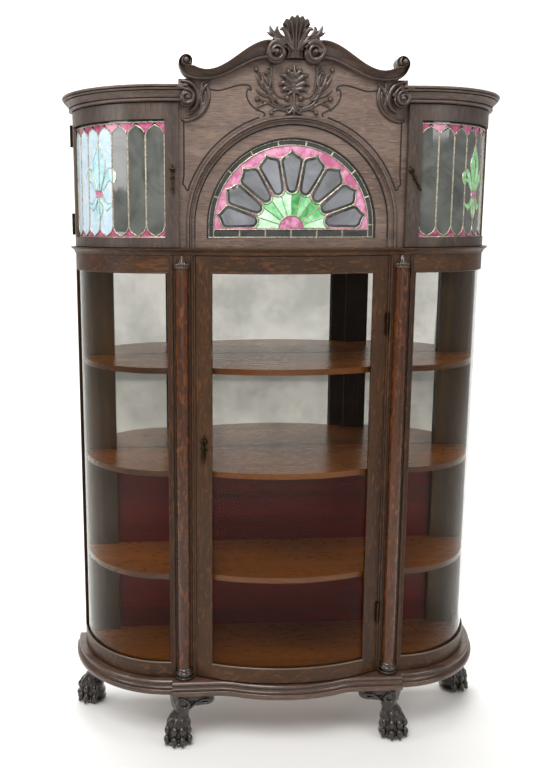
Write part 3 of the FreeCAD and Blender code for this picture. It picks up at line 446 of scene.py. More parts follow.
@dataclass(frozen=True)
class Oak:
    """Quarter-sawn oak: stained, smoothed by rubbing and varnished.

    Its long pores give fine dark lines, its rays give pale flakes across them, and its
    thin varnish gives a soft shine that the pores break. Where unfinished holds a colour,
    the side that faces the wall is left raw in it.
    """

    name: str
    deep: str
    body: str
    flake: str
    roughness: float = 0.40
    coat: float = 0.05
    sheen: float = 0.30
    pore_mm: float = 1.6
    tone_mm: float = 55.0
    flake_mm: float = 15.0
    flake_share: float = 0.55
    unfinished: str = ""

    def material(self, grain: Grain) -> Look:
        """Builds the finish with its grain in the given direction."""
        material, tree, shader, where = blank(self.name + "_" + grain.name.lower())
        flow = add_node(
            tree, "ShaderNodeMapping", {"Scale": grain.value}, {"Vector": where.outputs["Object"]},
        )
        rays = tuple(0.30 if value < 1.0 else 1.0 for value in grain.value)
        across = add_node(
            tree, "ShaderNodeMapping", {"Scale": rays}, {"Vector": where.outputs["Object"]},
        )
        tone = add_node(
            tree, NOISE, {"Scale": 1.0 / (self.tone_mm * MM), "Detail": 4.0, "Distortion": 0.6},
            {"Vector": flow.outputs[0]},
        )
        pores = add_node(
            tree, NOISE, {"Scale": 1.0 / (self.pore_mm * MM), "Detail": 2.0, "Roughness": 0.6},
            {"Vector": flow.outputs[0]},
        )
        flakes = add_node(
            tree, NOISE,
            {
                "Scale": 1.0 / (self.flake_mm * MM), "Detail": 3.0, "Roughness": 0.55,
                "Distortion": 1.8,
            },
            {"Vector": across.outputs[0]},
        )
        base = ramp(tree, tone.outputs["Fac"], (0.30, self.deep), (0.68, self.body))
        mask = add_node(
            tree, RAMP, {}, {"Fac": flakes.outputs["Fac"]},
            [(0.52, grey(0.0)), (0.66, grey(self.flake_share))],
        )
        flaked = add_node(
            tree, MIX, {"data_type": "RGBA", 7: linear(self.flake)},
            {0: mask.outputs[0], 6: base},
        )
        holes = add_node(
            tree, RAMP, {}, {"Fac": pores.outputs["Fac"]}, [(0.36, grey(0.55)), (0.50, grey(1.0))],
        )
        colour = add_node(
            tree, MIX, {"data_type": "RGBA", "blend_type": "MULTIPLY", 0: 1.0},
            {6: flaked.outputs[2], 7: holes.outputs[0]},
        )
        if self.unfinished:
            side = add_node(tree, "ShaderNodeSeparateXYZ", {}, {0: where.outputs["Normal"]})
            rear = add_node(
                tree, "ShaderNodeMath", {"operation": "GREATER_THAN", 1: 0.5},
                {0: side.outputs["Y"]},
            )
            raw = add_node(
                tree, MIX,
                {"data_type": "RGBA", "blend_type": "MULTIPLY", 0: 1.0, 7: linear(self.unfinished)},
                {6: holes.outputs[0]},
            )
            colour = add_node(
                tree, MIX, {"data_type": "RGBA"},
                {0: rear.outputs[0], 6: colour.outputs[2], 7: raw.outputs[2]},
            )
        # Painted shade: the oak's colour is darkened near corners and grooves.
        tree.links.new(painted_corner_shade(tree, colour.outputs[2], 9.0, 0.22), shader.inputs["Base Color"])
        shine = add_node(
            tree, SPREAD, {"To Min": self.roughness + 0.12, "To Max": self.roughness - 0.06},
            {"Value": flakes.outputs["Fac"]},
        )
        tree.links.new(shine.outputs[0], shader.inputs["Roughness"])
        bump = add_node(
            tree, BUMP, {"Strength": 0.25, "Distance": 0.0004}, {"Height": holes.outputs[0]},
        )
        tree.links.new(bump.outputs[0], shader.inputs["Normal"])
        shader.inputs["Specular IOR Level"].default_value = self.sheen
        shader.inputs["Coat Weight"].default_value = self.coat
        shader.inputs["Coat Roughness"].default_value = 0.22
        return material


@dataclass(frozen=True)
class Carving:
    """Carved oak under old glossy varnish.

    The hollows, found by the mesh's curvature, take the darker colour, and the ridges show a warmer
    brown in random patches, where rubbing wears them; painted shade then darkens the crevices
    further.
    """

    name: str
    hollow: str
    ridge: str
    roughness: float = 0.30
    coat: float = 0.35
    grain_mm: float = 3.0

    def material(self) -> Look:
        """Builds the finish."""
        material, tree, shader, where = blank(self.name)
        shape = add_node(tree, "ShaderNodeNewGeometry", {}, {})
        flow = add_node(
            tree, "ShaderNodeMapping", {"Scale": (1.0, 1.0, 0.15)},
            {"Vector": where.outputs["Object"]},
        )
        noise = add_node(
            tree, NOISE, {"Scale": 1.0 / (self.grain_mm * MM), "Detail": 4.0, "Roughness": 0.6},
            {"Vector": flow.outputs[0]},
        )
        high = add_node(
            tree, RAMP, {}, {"Fac": shape.outputs["Pointiness"]},
            [(0.44, grey(0.0)), (0.58, grey(1.0))],
        )
        wear_and_sheen = add_node(
            tree, "ShaderNodeMath", {"operation": "MULTIPLY"},
            {0: high.outputs[0], 1: noise.outputs["Fac"]},
        )
        colour = add_node(
            tree, MIX, {"data_type": "RGBA", 6: linear(self.hollow), 7: linear(self.ridge)},
            {0: wear_and_sheen.outputs[0]},
        )
        # Painted shade: the carving's colour is darkened near corners and crevices.
        tree.links.new(painted_corner_shade(tree, colour.outputs[2], 7.0, 0.12), shader.inputs["Base Color"])
        shine = add_node(
            tree, SPREAD, {"To Min": self.roughness + 0.10, "To Max": self.roughness - 0.05},
            {"Value": noise.outputs["Fac"]},
        )
        tree.links.new(shine.outputs[0], shader.inputs["Roughness"])
        bump = add_node(
            tree, BUMP, {"Strength": 0.18, "Distance": 0.0005}, {"Height": noise.outputs["Fac"]},
        )
        tree.links.new(bump.outputs[0], shader.inputs["Normal"])
        shader.inputs["Coat Weight"].default_value = self.coat
        shader.inputs["Coat Roughness"].default_value = 0.12
        return material


@dataclass(frozen=True)
class ClearGlass:
    """Thin drawn sheet glass, bent over a mould: clear and faintly wavy. The light it lets through to
    the inside is dimmed by a grey tint, which darkens the inside as painted shade.
    """

    name: str
    tint: str
    shadow: str = "d8d8d2"
    index: float = 1.14
    ripple_mm: float = 90.0

    def material(self) -> Look:
        """Builds the finish; lamps shine straight through it onto what is inside."""
        material, tree, shader, where = blank(self.name)
        shader.inputs["Base Color"].default_value = linear(self.tint)
        shader.inputs["Transmission Weight"].default_value = 1.0
        shader.inputs["Roughness"].default_value = 0.01
        shader.inputs["IOR"].default_value = self.index
        waves = add_node(
            tree, NOISE, {"Scale": 1.0 / (self.ripple_mm * MM), "Detail": 1.0},
            {"Vector": where.outputs["Object"]},
        )
        bump = add_node(
            tree, BUMP, {"Strength": 0.12, "Distance": 0.002}, {"Height": waves.outputs["Fac"]},
        )
        tree.links.new(bump.outputs[0], shader.inputs["Normal"])
        # Painted shade: the grey tint dims the lamps' light that reaches the inside.
        clear_shader = add_node(
            tree, "ShaderNodeBsdfTransparent", {"Color": linear(self.shadow)}, {},
        )
        path = add_node(tree, "ShaderNodeLightPath", {}, {})
        either = add_node(
            tree, "ShaderNodeMath", {"operation": "MAXIMUM"},
            {0: path.outputs["Is Shadow Ray"], 1: path.outputs["Is Diffuse Ray"]},
        )
        mix = add_node(
            tree, "ShaderNodeMixShader", {},
            {0: either.outputs[0], 1: shader.outputs[0], 2: clear_shader.outputs[0]},
        )
        output = next(node for node in tree.nodes if node.type == "OUTPUT_MATERIAL")
        tree.links.new(mix.outputs[0], output.inputs["Surface"])
        return material


@dataclass(frozen=True)
class ArtGlass:
    """Hand-rolled opalescent glass: milky streaks of two tones under a fire polish."""

    name: str
    pale: str
    strong: str
    streak_mm: float = 30.0
    roughness: float = 0.14
    glow: float = 0.0

    def material(self) -> Look:
        """Builds the finish."""
        material, tree, shader, where = blank(self.name)
        streaks = add_node(
            tree, NOISE,
            {
                "Scale": 1.0 / (self.streak_mm * MM), "Detail": 3.0, "Roughness": 0.55,
                "Distortion": 1.2,
            },
            {"Vector": where.outputs["Object"]},
        )
        colour = ramp(tree, streaks.outputs["Fac"], (0.36, self.strong), (0.62, self.pale))
        tree.links.new(colour, shader.inputs["Base Color"])
        # Painted light: the glass glows faintly in its own colour, though it is no lamp.
        tree.links.new(colour, shader.inputs["Emission Color"])
        shader.inputs["Emission Strength"].default_value = self.glow
        shader.inputs["Roughness"].default_value = self.roughness
        shader.inputs["IOR"].default_value = 1.5
        bump = add_node(
            tree, BUMP, {"Strength": 0.15, "Distance": 0.001}, {"Height": streaks.outputs["Fac"]},
        )
        tree.links.new(bump.outputs[0], shader.inputs["Normal"])
        return material


@dataclass(frozen=True)
class Metal:
    """Plain metal with a mottled skin, such as solder, aged brass or silvering."""

    name: str
    bright: str
    dull: str
    roughness: float
    mottle_mm: float
    spread: float = 0.12

    def material(self) -> Look:
        """Builds the finish."""
        material, tree, shader, where = blank(self.name)
        shader.inputs["Metallic"].default_value = 1.0
        mottle = add_node(
            tree, NOISE, {"Scale": 1.0 / (self.mottle_mm * MM), "Detail": 4.0, "Roughness": 0.6},
            {"Vector": where.outputs["Object"]},
        )
        colour = ramp(tree, mottle.outputs["Fac"], (0.38, self.dull), (0.60, self.bright))
        tree.links.new(colour, shader.inputs["Base Color"])
        shine = add_node(
            tree, SPREAD,
            {
                "To Min": self.roughness + self.spread,
                "To Max": max(0.0, self.roughness - self.spread),
            },
            {"Value": mottle.outputs["Fac"]},
        )
        tree.links.new(shine.outputs[0], shader.inputs["Roughness"])
        return material


class Finishes:
    """All finishes of the cabinet, built once."""

    def __init__(self) -> None:
        """Builds every material."""
        dark = Oak("dark_oak", deep="2a190c", body="42280f", flake="6a3e1e", flake_share=0.5)
        round_oak = Oak(
            "column_oak", deep="2e1606", body="4c270c", flake="7c4218", roughness=0.24, coat=0.4,
        )
        # Painted sheen: the upper parts' oak (cornices, arch ring, swan necks, upper frames, frieze
        # panel) is lighter and greyer than the dark oak below, standing for the cool sheen that light
        # from above lays on it.
        sheen_oak = Oak("painted_sheen_oak", deep="4b3d37", body="69584f", flake="7c6758", flake_share=0.4)
        wear_and_sheen = Oak("painted_sheen_frame_oak", deep="382d27", body="4f423b", flake="5f4e42", flake_share=0.4)
        panel = Oak(
            "panel_oak", deep="56453c", body="746258", flake="866f5e", tone_mm=80.0,
            flake_share=0.5,
        )
        # Painted sheen: the base's oak is lighter than the dark oak, standing for the sheen that the
        # light lays on the base moulding.
        base = Oak(
            "base_oak", deep="3a2a20", body="5a4438", flake="6f5340", roughness=0.30, coat=0.4,
        )
        shelf = Oak(
            "shelf_oak", deep="6a3606", body="98560f", flake="ac6c1c", roughness=0.26, coat=0.3,
            tone_mm=90.0, flake_share=0.3,
        )
        boards = Oak(
            "red_boards", deep="4a0806", body="7e150f", flake="8a2416", roughness=0.36,
            flake_share=0.25, unfinished="6e5a45",
        )
        inner = Oak(
            "inner_oak", deep="2c1c04", body="503408", flake="624610", roughness=0.38,
            flake_share=0.3,
        )
        back = Oak(
            "plain_back", deep="4a3a2c", body="64503c", flake="705a44", roughness=0.6, coat=0.0,
            flake_share=0.2,
        )
        self.upright = dark.material(Grain.UPRIGHT)
        self.across = dark.material(Grain.ACROSS)
        self.column = round_oak.material(Grain.UPRIGHT)
        self.sheen_oak = sheen_oak.material(Grain.ACROSS)
        self.painted_sheen_upright = wear_and_sheen.material(Grain.UPRIGHT)
        self.panel = panel.material(Grain.ACROSS)
        self.base = base.material(Grain.ACROSS)
        self.shelf = shelf.material(Grain.ACROSS)
        self.boards = boards.material(Grain.ACROSS)
        self.back = back.material(Grain.ACROSS)
        self.inner = inner.material(Grain.UPRIGHT)
        self.carved = Carving("carved_oak", hollow="120c09", ridge="6a4e3c").material()
        self.black = Carving(
            "black_carving", hollow="0d0a08", ridge="453629", roughness=0.24,
        ).material()
        # Painted highlight: this lighter bead finish goes only on the sill beads under the glass,
        # which catch the light from above; the beads over and beside the glass keep the dark oak.
        self.bead = Carving(
            "painted_highlight_bead", hollow="2c2119", ridge="7d6650", roughness=0.30,
        ).material()
        # Painted shade: a near-black finish for rods that stand for the shadow in grooves and along
        # recessed glass.
        self.shadow_line = Carving(
            "painted_shadow_line", hollow="080504", ridge="140d09", roughness=0.60, coat=0.0,
        ).material()
        self.clear = ClearGlass("bent_glass", tint="f8f8f6").material()
        self.green = ArtGlass(
            "green_art_glass", pale="9ad6a0", strong="58ab67", glow=0.03,
        ).material()
        self.pink = ArtGlass("pink_art_glass", pale="cd8fab", strong="a55476", glow=0.03).material()
        # Painted reflection: these two pale glasses serve only the left door's lily and outer lights,
        # which look pale there because its glass reflects the light; the right door has green and
        # grey.
        self.blue = ArtGlass(
            "painted_reflection_blue_glass", pale="aecfd4", strong="8bbcc4", glow=0.02,
        ).material()
        self.reflection_white = ArtGlass(
            "painted_reflection_white_glass", pale="bcc9cf", strong="a4bccb", glow=0.02,
        ).material()
        self.mint = ArtGlass("mint_art_glass", pale="cdeecf", strong="94d49c", glow=0.05).material()
        self.moss = ArtGlass("moss_art_glass", pale="5fae63", strong="2f7f42", glow=0.03).material()
        self.rose = ArtGlass("rose_art_glass", pale="b95f83", strong="7c324c", glow=0.03).material()
        self.smoke = ArtGlass(
            "bevelled_grey_glass", pale="5c5d59", strong="3f413e", streak_mm=120.0, roughness=0.06,
        ).material()
        self.petal = ArtGlass(
            "plate_grey_glass", pale="83848a", strong="5c5d5e", streak_mm=150.0, roughness=0.05,
        ).material()
        # Dark glass: the lunette's small border panes, and the doors' backing sheet, where it is
        # painted shadow.
        self.dusk = ArtGlass(
            "dark_glass_and_shadow", pale="343633", strong="1c1e1c", streak_mm=90.0, roughness=0.06,
        ).material()
        self.bevel = ArtGlass(
            "ground_bevel_glass", pale="4a4b49", strong="262726", streak_mm=40.0, roughness=0.12,
        ).material()
        self.lead = Metal(
            "soldered_lead", bright="c2bba6", dull="8d8674", roughness=0.42, mottle_mm=6.0,
        ).material()
        self.silver = Metal(
            "old_mirror", bright="d2cfc9", dull="b4b2ac", roughness=0.015, mottle_mm=200.0,
            spread=0.01,
        ).material()
        self.brass = Metal(
            "aged_brass", bright="4c3e2c", dull="17120d", roughness=0.34, mottle_mm=3.0,
        ).material()


def dress(item: Thing, material: Look) -> Thing:
    """Gives a piece its one finish."""
    item.data.materials.clear()
    item.data.materials.append(material)
    return item


# ------------------------------------------------------------------ the plan
@dataclass(frozen=True)
class Plan:
    """Places of the frame that every piece goes by, in plan millimetres."""

    front: float
    bay_x: float
    bay_y: float
    bay_wide: float
    post_x: float
    door_bow: float
    door_half: float

    @classmethod
    def read(cls) -> "Plan":
        """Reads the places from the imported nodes."""
        post_low, post_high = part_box("right_front_post")
        front, bay_x = post_low.y / MM, post_high.x / MM
        bay_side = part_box("right_lower_rail")[1].x / MM
        bay_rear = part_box("right_rear_post")[1].y / MM - front - REAR_STEP
        door_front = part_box("door_bottom_rail")[0].y / MM
        return cls(
            front=front, bay_x=bay_x, bay_y=bay_rear, bay_wide=bay_side - bay_x,
            post_x=(post_low.x + post_high.x) / 2 / MM, door_bow=front - door_front,
            door_half=post_low.x / MM,
        )

    def move(self) -> Matrix:
        """Matrix from plan to frame."""
        return Matrix.Translation((0.0, self.front * MM, 0.0))

    def bay(self, angle: float, offset: float) -> Flat:
        """Point of the right bay: angle 0 is at the front post and 90 at the side."""
        turn = math.radians(angle)
        x = self.bay_x + (self.bay_wide + offset) * math.sin(turn)
        return x, self.bay_y - (self.bay_y + offset) * math.cos(turn)

    def bow_radius(self) -> float:
        """Radius of the middle door's bowed face."""
        return (self.door_half ** 2 + self.door_bow ** 2) / (2 * self.door_bow)

    def bow(self, x: float) -> float:
        """Depth of the middle door's face at x."""
        radius = self.bow_radius()
        return radius - self.door_bow - math.sqrt(radius ** 2 - x ** 2)


@dataclass
class Shop:
    """What every sub-assembly needs: the plan and the finishes."""

    plan: Plan
    finishes: Finishes

    def fit(self, item: Thing, body: str, material: Look | None, slot: str) -> Thing:
        """Moves a finished piece from the plan into the frame, dresses it and hangs it on its body.

        Args:
            item: The piece, in plan millimetres.
            body: The CAD body it rides on.
            material: Its finish; None keeps what it wears.
            slot: Not used.

        Returns:
            The piece.
        """
        item.data.transform(self.plan.move())
        if material is not None:
            dress(item, material)
        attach(item, body)
        LOG.info("piece %s: %d faces on %s", item.name, len(item.data.polygons), body)
        return item

    def pair(self, item: Thing, name: str, material: Look, slot: str, node: str = "") -> None:
        """Fits a right-hand piece of the case and its mirror image on the left.

        Args:
            item: The right-hand piece, in plan millimetres.
            name: Its name, which follows left_ or right_.
            material: Their finish.
            slot: Handed on to fit.
            node: Name of the CAD nodes they stand in for, which follows left_ or right_.
        """
        item.name = "right_" + name
        other = copied(item, "left_" + name, mirror_x())
        for piece, (_, side) in zip((other, item), SIDES):
            self.fit(piece, "case", material, slot)
            if node:
                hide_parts(side + "_" + node)


# ------------------------------------------------------------------ frame nodes
@dataclass
class FrameDress:
    """Finishes of the CAD nodes that stay visible."""

    shop: Shop

    def apply(self, nodes: dict[str, Thing]) -> None:
        """Dresses each node with the finish that its wood, glass or metal has."""
        finishes = self.shop.finishes
        by_word = [
            (("side_glass", "door_glass"), finishes.clear), (("mirror",), finishes.silver),
            (("hinge", "pins"), finishes.brass), (("shelf", "case_floor"), finishes.shelf),
            (("back_boards",), finishes.boards),
            (("upper_back", "top_board", "waist_deck"), finishes.back),
            (("rear_post",), finishes.inner), (("column",), finishes.column),
            (("post", "stile"), finishes.upright),
            (("upper_frame",), finishes.painted_sheen_upright),
            (("frieze_panel", "lunette_frame"), finishes.panel),
        ]
        for name, node in nodes.items():
            found = [finish for words, finish in by_word if any(word in name for word in words)]
            dress(node, found[0] if found else finishes.across)


# ------------------------------------------------------------------ carved feet
@dataclass
class PawFeet:
    """Lion's paw feet with a scrolled knee and a leaf wing."""

    shop: Shop
    paw_x: float = 312
    ankle_x: float = 300
    rear_x: float = 572
    rear_y: float = 250
    height: float = 157.5
    rear_turn: float = 42
    floor_cut: float = 0.3
    toe_places: tuple = ((-27.5, -20), (-9.8, -31), (9.8, -31), (27.5, -20))

    def paw(self) -> list[Thing]:
        """Ankle, tendons, toes, claws and sole about the paw's own axis."""
        lean = self.ankle_x - self.paw_x
        top = self.height
        leg = [
            (lean, 0, top - 18), (lean, 0, 118), (lean, 0, 98), (lean * 0.6, -1, 86),
            (lean * 0.2, -2, 64), (0, -2, 34),
        ]
        parts = [rod(leg, [31, 27, 21.5, 24, 35, 36], 6)]
        parts.append(ball((0, -1, 9.5), (40, 42, 9.5), fine=28))
        parts.append(ball((0, 2, 28), (38, 37, 24), fine=24))
        parts.append(ball((lean * 0.2, -2, 58), (35.5, 33, 27), fine=24))
        for x, y in self.toe_places:
            out = math.degrees(math.atan2(x, -y))
            tendon = [
                (lean * 0.3 + x * 0.72, y * 0.8, 80), (x, y * 1.06, 66), (x * 1.06, y * 1.12, 46),
            ]
            parts.append(rod(tendon, [3.6, 7.4, 8.6], 4))
            lumps = (
                ((x * 1.08, y * 1.2, 48), (9.2, 9.8, 13)),
                ((x * 1.16, y * 1.3, 22), (9.2, 10, 12)),
                ((x * 1.2, y * 1.5, 11), (5.4, 5, 7)),
            )
            parts += [ball(place, radii, (0, 0, out)) for place, radii in lumps]
        return parts

    def knee(self) -> list[Thing]:
        """Scrolled knee and drooping leaf wing; its table is about the ankle, under the base."""
        lean, top = self.ankle_x - self.paw_x, self.height
        eye = (lean - 7, top - 27)
        lumps = (
            ((-1, 0, -22), (34.5, 31, 29), 0, 24),
            ((0, 2, -8), (35, 34, 12), 0, 20),
            ((-7, -31, -27), (4.6, 5, 4.6), 0, 14),
            ((-80, -12, -18), (12, 14, 16), 12, 18),
            ((-76, -25, -22), (5, 4, 5), 0, 14),
        )
        bars = (
            (((26, 0, -10), (27, 0, -30), (20, 0, -52)), (8, 8, 7), 4),
            (((-15, -8, -15), (-50, -10, -15), (-79, -11, -15)), (17, 15, 13), 5),
            (((-12, -6, -40), (-34, -8, -30), (-64, -10, -24)), (15, 13, 11), 5),
            (((-14, -29, -5), (-40, -25, -7), (-66, -24, -5), (-88, -22, -10)), (4, 4, 4, 3), 3),
            (
                (
                    (-20, -22, -48), (-32, -24, -34), (-52, -25, -20), (-72, -25, -16),
                    (-84, -24, -20),
                ),
                (3, 4.2, 4.4, 4.2, 3.4), 3,
            ),
            (
                ((-40, -22, -36), (-58, -23, -30), (-74, -24, -30), (-86, -20, -26)),
                (3, 4.4, 4.4, 3.6), 3,
            ),
        )
        parts = []
        for (x, y, z), radii, tilt, fine in lumps:
            parts.append(ball((lean + x, y, top + z), radii, (0, tilt, 0), fine))
        for line, radii, fine in bars:
            parts.append(rod([(lean + x, y, top + z) for x, y, z in line], radii, fine))
        parts.append(rod(spiral(eye, (20, 5.5), (75, -400), 24, -30.5), [5] * 14 + [3.8] * 11, 4))
        return parts

    def ankle(self) -> list[Thing]:
        """Plain round top of a rear foot."""
        return [ball((self.ankle_x - self.paw_x, 0, self.height - 20), (33, 33, 26), fine=24)]

    def build(self) -> None:
        """Carves the two front feet and the two rear feet."""
        turn = Matrix.Rotation(math.radians(self.rear_turn), 4, "Z")
        front = Matrix.Translation((self.paw_x * MM, 0, 0))
        rear = Matrix.Translation((self.rear_x * MM, self.rear_y * MM, 0)) @ turn
        for end, upper, grit, move in (
            ("front", self.knee, 1.6, front), ("rear", self.ankle, 2, rear),
        ):
            foot = carved(self.paw() + upper(), end + "_paw", grit, 2)
            self.trim(foot)
            foot.data.transform(move)
            self.shop.pair(
                foot, end + "_paw", self.shop.finishes.black, "carved_oak", end + "_foot",
            )

    def trim(self, item: Thing) -> None:
        """Cuts the foot flat at the floor and under the base frame."""
        for level, lower in ((self.floor_cut, True), (self.height, False)):
            take(item)
            bpy.ops.object.mode_set(mode="EDIT")
            bpy.ops.mesh.select_all(action="SELECT")
            bpy.ops.mesh.bisect(
                plane_co=(0, 0, level * MM), plane_no=(0, 0, 1), use_fill=True,
                clear_inner=lower, clear_outer=not lower,
            )
            bpy.ops.object.mode_set(mode="OBJECT")
        item.data.transform(Matrix.Translation((0, 0, -self.floor_cut * MM)))


# ------------------------------------------------------------------ columns
@dataclass
class Columns:
    """Carved capitals and turned bases of the half-round columns."""

    shop: Shop
    base_low: float = 197
    capital_low: float = 1351
    capital_high: float = 1385
    leaf_tops: tuple = (0, 10, 19, 25)
    base_outline: tuple = (
        (26, 0.3), (27.4, 2), (27.4, 6), (25, 8.2), (22, 9.2), (22, 12), (23.6, 13.2), (25.8, 14.6),
        (26.2, 17.6), (25, 20.4), (21.6, 22.2), (21, 24), (22.4, 25.4), (22.2, 27.4), (20, 28.8),
        (18.8, 31),
    )

    def capital(self) -> Thing:
        """Pointed cluster of leaves above an astragal."""
        low, high = self.capital_low, self.capital_high
        x = self.shop.plan.post_x
        core = [
            (17.5, 0), (22, 0.4), (22.6, 2.2), (21.4, 4.2), (17, 5), (15, 9), (9, 22),
            (4, high - low - 1),
        ]
        parts = [turning(core, (x, 0, low), 180, 180, 28)]
        for index in range(-3, 4):
            angle = math.radians(-90 + index * 27)
            dx, dy = math.cos(angle), math.sin(angle)
            tall = high - 2 - self.leaf_tops[abs(index)]
            share = (tall - low - 5) / (high - low)
            spine = [
                (x + dx * 15, dy * 15, low + 5), (x + dx * 17.5, dy * 17.5, low + 9),
                (x + dx * (15 - 6 * share), dy * 12, low + 5 + (tall - low) * 0.5),
                (x + dx * (14 - 8 * share), dy * 11, tall),
            ]
            parts.append(rod(spine, [3, 4.4, 3.2, 1.4], 3))
        return carved(parts, "capital", 0.9, 1)

    def build(self) -> None:
        """Makes both capitals and both turned bases."""
        shop = self.shop
        shop.pair(self.capital(), "leaf_capital", shop.finishes.carved, "carved_oak", "capital")
        rings = turning(self.base_outline, (shop.plan.post_x, 0, self.base_low), 180, 180, 32)
        shop.pair(rings, "column_base", shop.finishes.black, "carved_oak")


# ------------------------------------------------------------------ mouldings
@dataclass
class Mouldings:
    """Run mouldings with crisp beads and quirks: the cornices, the base and the arch.

    A profile is a run of (share of the height or width, reach) pairs.
    """

    shop: Shop
    volute: Flat = (276, 1779)
    low: float = 1771
    high: float = 1811
    rear: float = 300
    arch_z: float = 1462
    deck: float = 1403
    arch_out: float = 278
    arch_in: float = 259.5
    panel: float = 24
    # Dark rings at the lunette's edge and at the arch's inner edge, in painted shade: the shadow of
    # the recessed glass and of the groove.
    arch_beads: tuple = (
        ("arch_inner_bead", 222.8, 31.6, 2.6), ("arch_frame_bead", 256.6, 30.6, 2.2),
    )
    cornice_profile: tuple = (
        (0, 4), (0.02, 8.6), (0.07, 10.6), (0.14, 10.6), (0.18, 8.6), (0.185, 5), (0.235, 5),
        (0.24, 9.4), (0.32, 11.2), (0.44, 14.2), (0.54, 18), (0.6, 20.6), (0.605, 15), (0.655, 15),
        (0.66, 22.6), (0.72, 25), (0.76, 25.6), (0.765, 18), (0.81, 18), (0.815, 26), (0.85, 27.8),
        (0.93, 28), (0.98, 26.2), (1, 23),
    )
    base_profile: tuple = (
        (0, 26.5), (0.05, 29.2), (0.14, 30), (0.3, 30), (0.37, 28.6), (0.4, 27), (0.405, 22.5),
        (0.445, 22.5), (0.45, 26), (0.48, 26), (0.485, 21), (0.56, 18.4), (0.64, 17.2), (0.71, 17),
        (0.715, 13), (0.755, 13), (0.76, 19), (0.79, 21.4), (0.84, 22.4), (0.9, 22.4), (0.95, 21.2),
        (1, 19),
    )
    base_low: float = 157.5
    base_high: float = 196.5
    base_width: float = 60
    block_step: float = 15
    block_inner: float = 200
    base_bow: float = 34
    hollow_share: float = 0.25

    def cornice(self) -> Thing:
        """Right cornice, from its volute round the bay to the back."""
        plan = self.shop.plan
        tall = self.high - self.low
        rings = []
        stations = [("flat", x) for x in (self.volute[0], 300, 320)]
        stations += [("bay", angle) for angle in range(0, 89, 4)]
        stations.append(("side", self.rear - 0.5))
        for kind, value in stations:
            ring = []
            for share, reach in ((0, -12),) + self.cornice_profile + ((1, -12),):
                level = self.low + share * tall
                if kind == "flat":
                    ring.append((value, -reach, level))
                elif kind == "bay":
                    ring.append((*plan.bay(value, reach), level))
                else:
                    ring.append((plan.bay_x + plan.bay_wide + reach, value, level))
            rings.append(ring)
        return loft(rings, "cornice")

    def scroll(self) -> Thing:
        """Right cornice's volute: a drum with a raised coil that grows out of the top lip."""
        x, z = self.volute
        rim = [polar(self.volute, 17.5, angle) for angle in range(0, 360, 10)]
        parts = [plate([(a, self.panel, b) for a, b in rim], (0, -2 * self.panel, 0))]
        lead = [(x + 26, -24, z + 26.5), (x + 16, -25, z + 24)]
        coil = lead + spiral((x, z), (19, 5.5), (80, 80 + 500), 36, -26)
        parts.append(rod(coil, [3.4] * 16 + [3.1] * 10 + [2.6] * 13, 4))
        parts.append(rod(spiral((x, z), (17, 17), (100, 330), 20, 0), [3.8], 4))
        parts.append(ball((x, -25.5, z), (4.8, 4, 4.8), fine=18))
        return carved(parts, "scroll", 0.9, 1)

    def arch(self) -> Thing:
        """Raised ring over the window: a bead, a quirk and a hollow."""
        wide = self.arch_out - self.arch_in
        front = self.panel - 12
        shape = [(0, self.panel + 1), (0, front + 5)]
        for step in range(7):
            turn = math.radians(30 * step)
            shape.append((0.2 - 0.2 * math.cos(turn), front + 4 - 4 * math.sin(turn)))
        shape.extend([(0.41, front + 7), (0.47, front + 7), (0.48, front + 2), (0.56, front + 2)])
        shape.extend([
            (0.62, front + 6.5), (0.72, front + 9.5), (0.84, front + 11), (1, front + 11.5),
            (1, self.panel + 1),
        ])
        rings = []
        arc = [(angle, None) for angle in range(0, 181, 4)]
        path = [(0, self.deck), *arc, (180, self.deck)]
        for angle, level in path:
            ring = []
            for share, y in shape:
                x, z = polar((0, self.arch_z), self.arch_out - share * wide, angle)
                ring.append((x, y, z if level is None else level))
            rings.append(ring)
        return loft(rings, "arch")

    def bead(self, name: str, radius: float, y: float, thick: float) -> Thing:
        """Thin round bead along the arch at a radius."""
        foot = self.deck + 25
        arc = [polar((0, self.arch_z), radius, angle) for angle in range(0, 181, 4)]
        item = rod(
            [(x, y, z) for x, z in [(radius, foot), *arc, (-radius, foot)]], [thick], 3, False
        )
        item.name = name
        item.data.shade_smooth()
        return item

    def base_line(self) -> list[Flat]:
        """Right half of the base's front edge, from the block's corner to the middle of the bow."""
        turn = 2 * math.atan2(self.base_bow, self.block_inner)
        reach = self.block_inner / math.sin(turn)
        hollow, swelling = reach * self.hollow_share, reach * (1 - self.hollow_share)
        line = [
            (self.shop.plan.bay_x, 0), (self.shop.plan.bay_x, -self.block_step),
            (self.block_inner, -self.block_step),
        ]
        for step in range(1, 7):
            angle = turn * step / 6
            line.append((
                self.block_inner - hollow * math.sin(angle),
                -self.block_step - hollow * (1 - math.cos(angle)),
            ))
        crown = line[-1][1] - swelling * (1 - math.cos(turn))
        for step in range(1, 13):
            angle = turn * (1 - step / 12)
            line.append((swelling * math.sin(angle), crown + swelling * (1 - math.cos(angle))))
        return line

    def base_ring(self, side: float, kind: str, x: float, y: float) -> list[Point]:
        """Ring of the base's profile at one station.

        Args:
            side: 1 on the right and -1 on the left.
            kind: "side", "bay" or "front".
            x: The front's x; on a bay, the bay's angle.
            y: Depth of a station of the side or the front.

        Returns:
            The ring's points.
        """
        plan, tall = self.shop.plan, self.base_high - self.base_low
        ring = []
        for share, reach in ((0, -self.base_width), *self.base_profile, (1, -self.base_width)):
            if kind == "side":
                place = (plan.bay_x + plan.bay_wide + reach, y)
            elif kind == "bay":
                place = plan.bay(x, reach)
            else:
                place = (x, y - reach)
            ring.append((side * place[0], place[1], self.base_low + share * tall))
        return ring

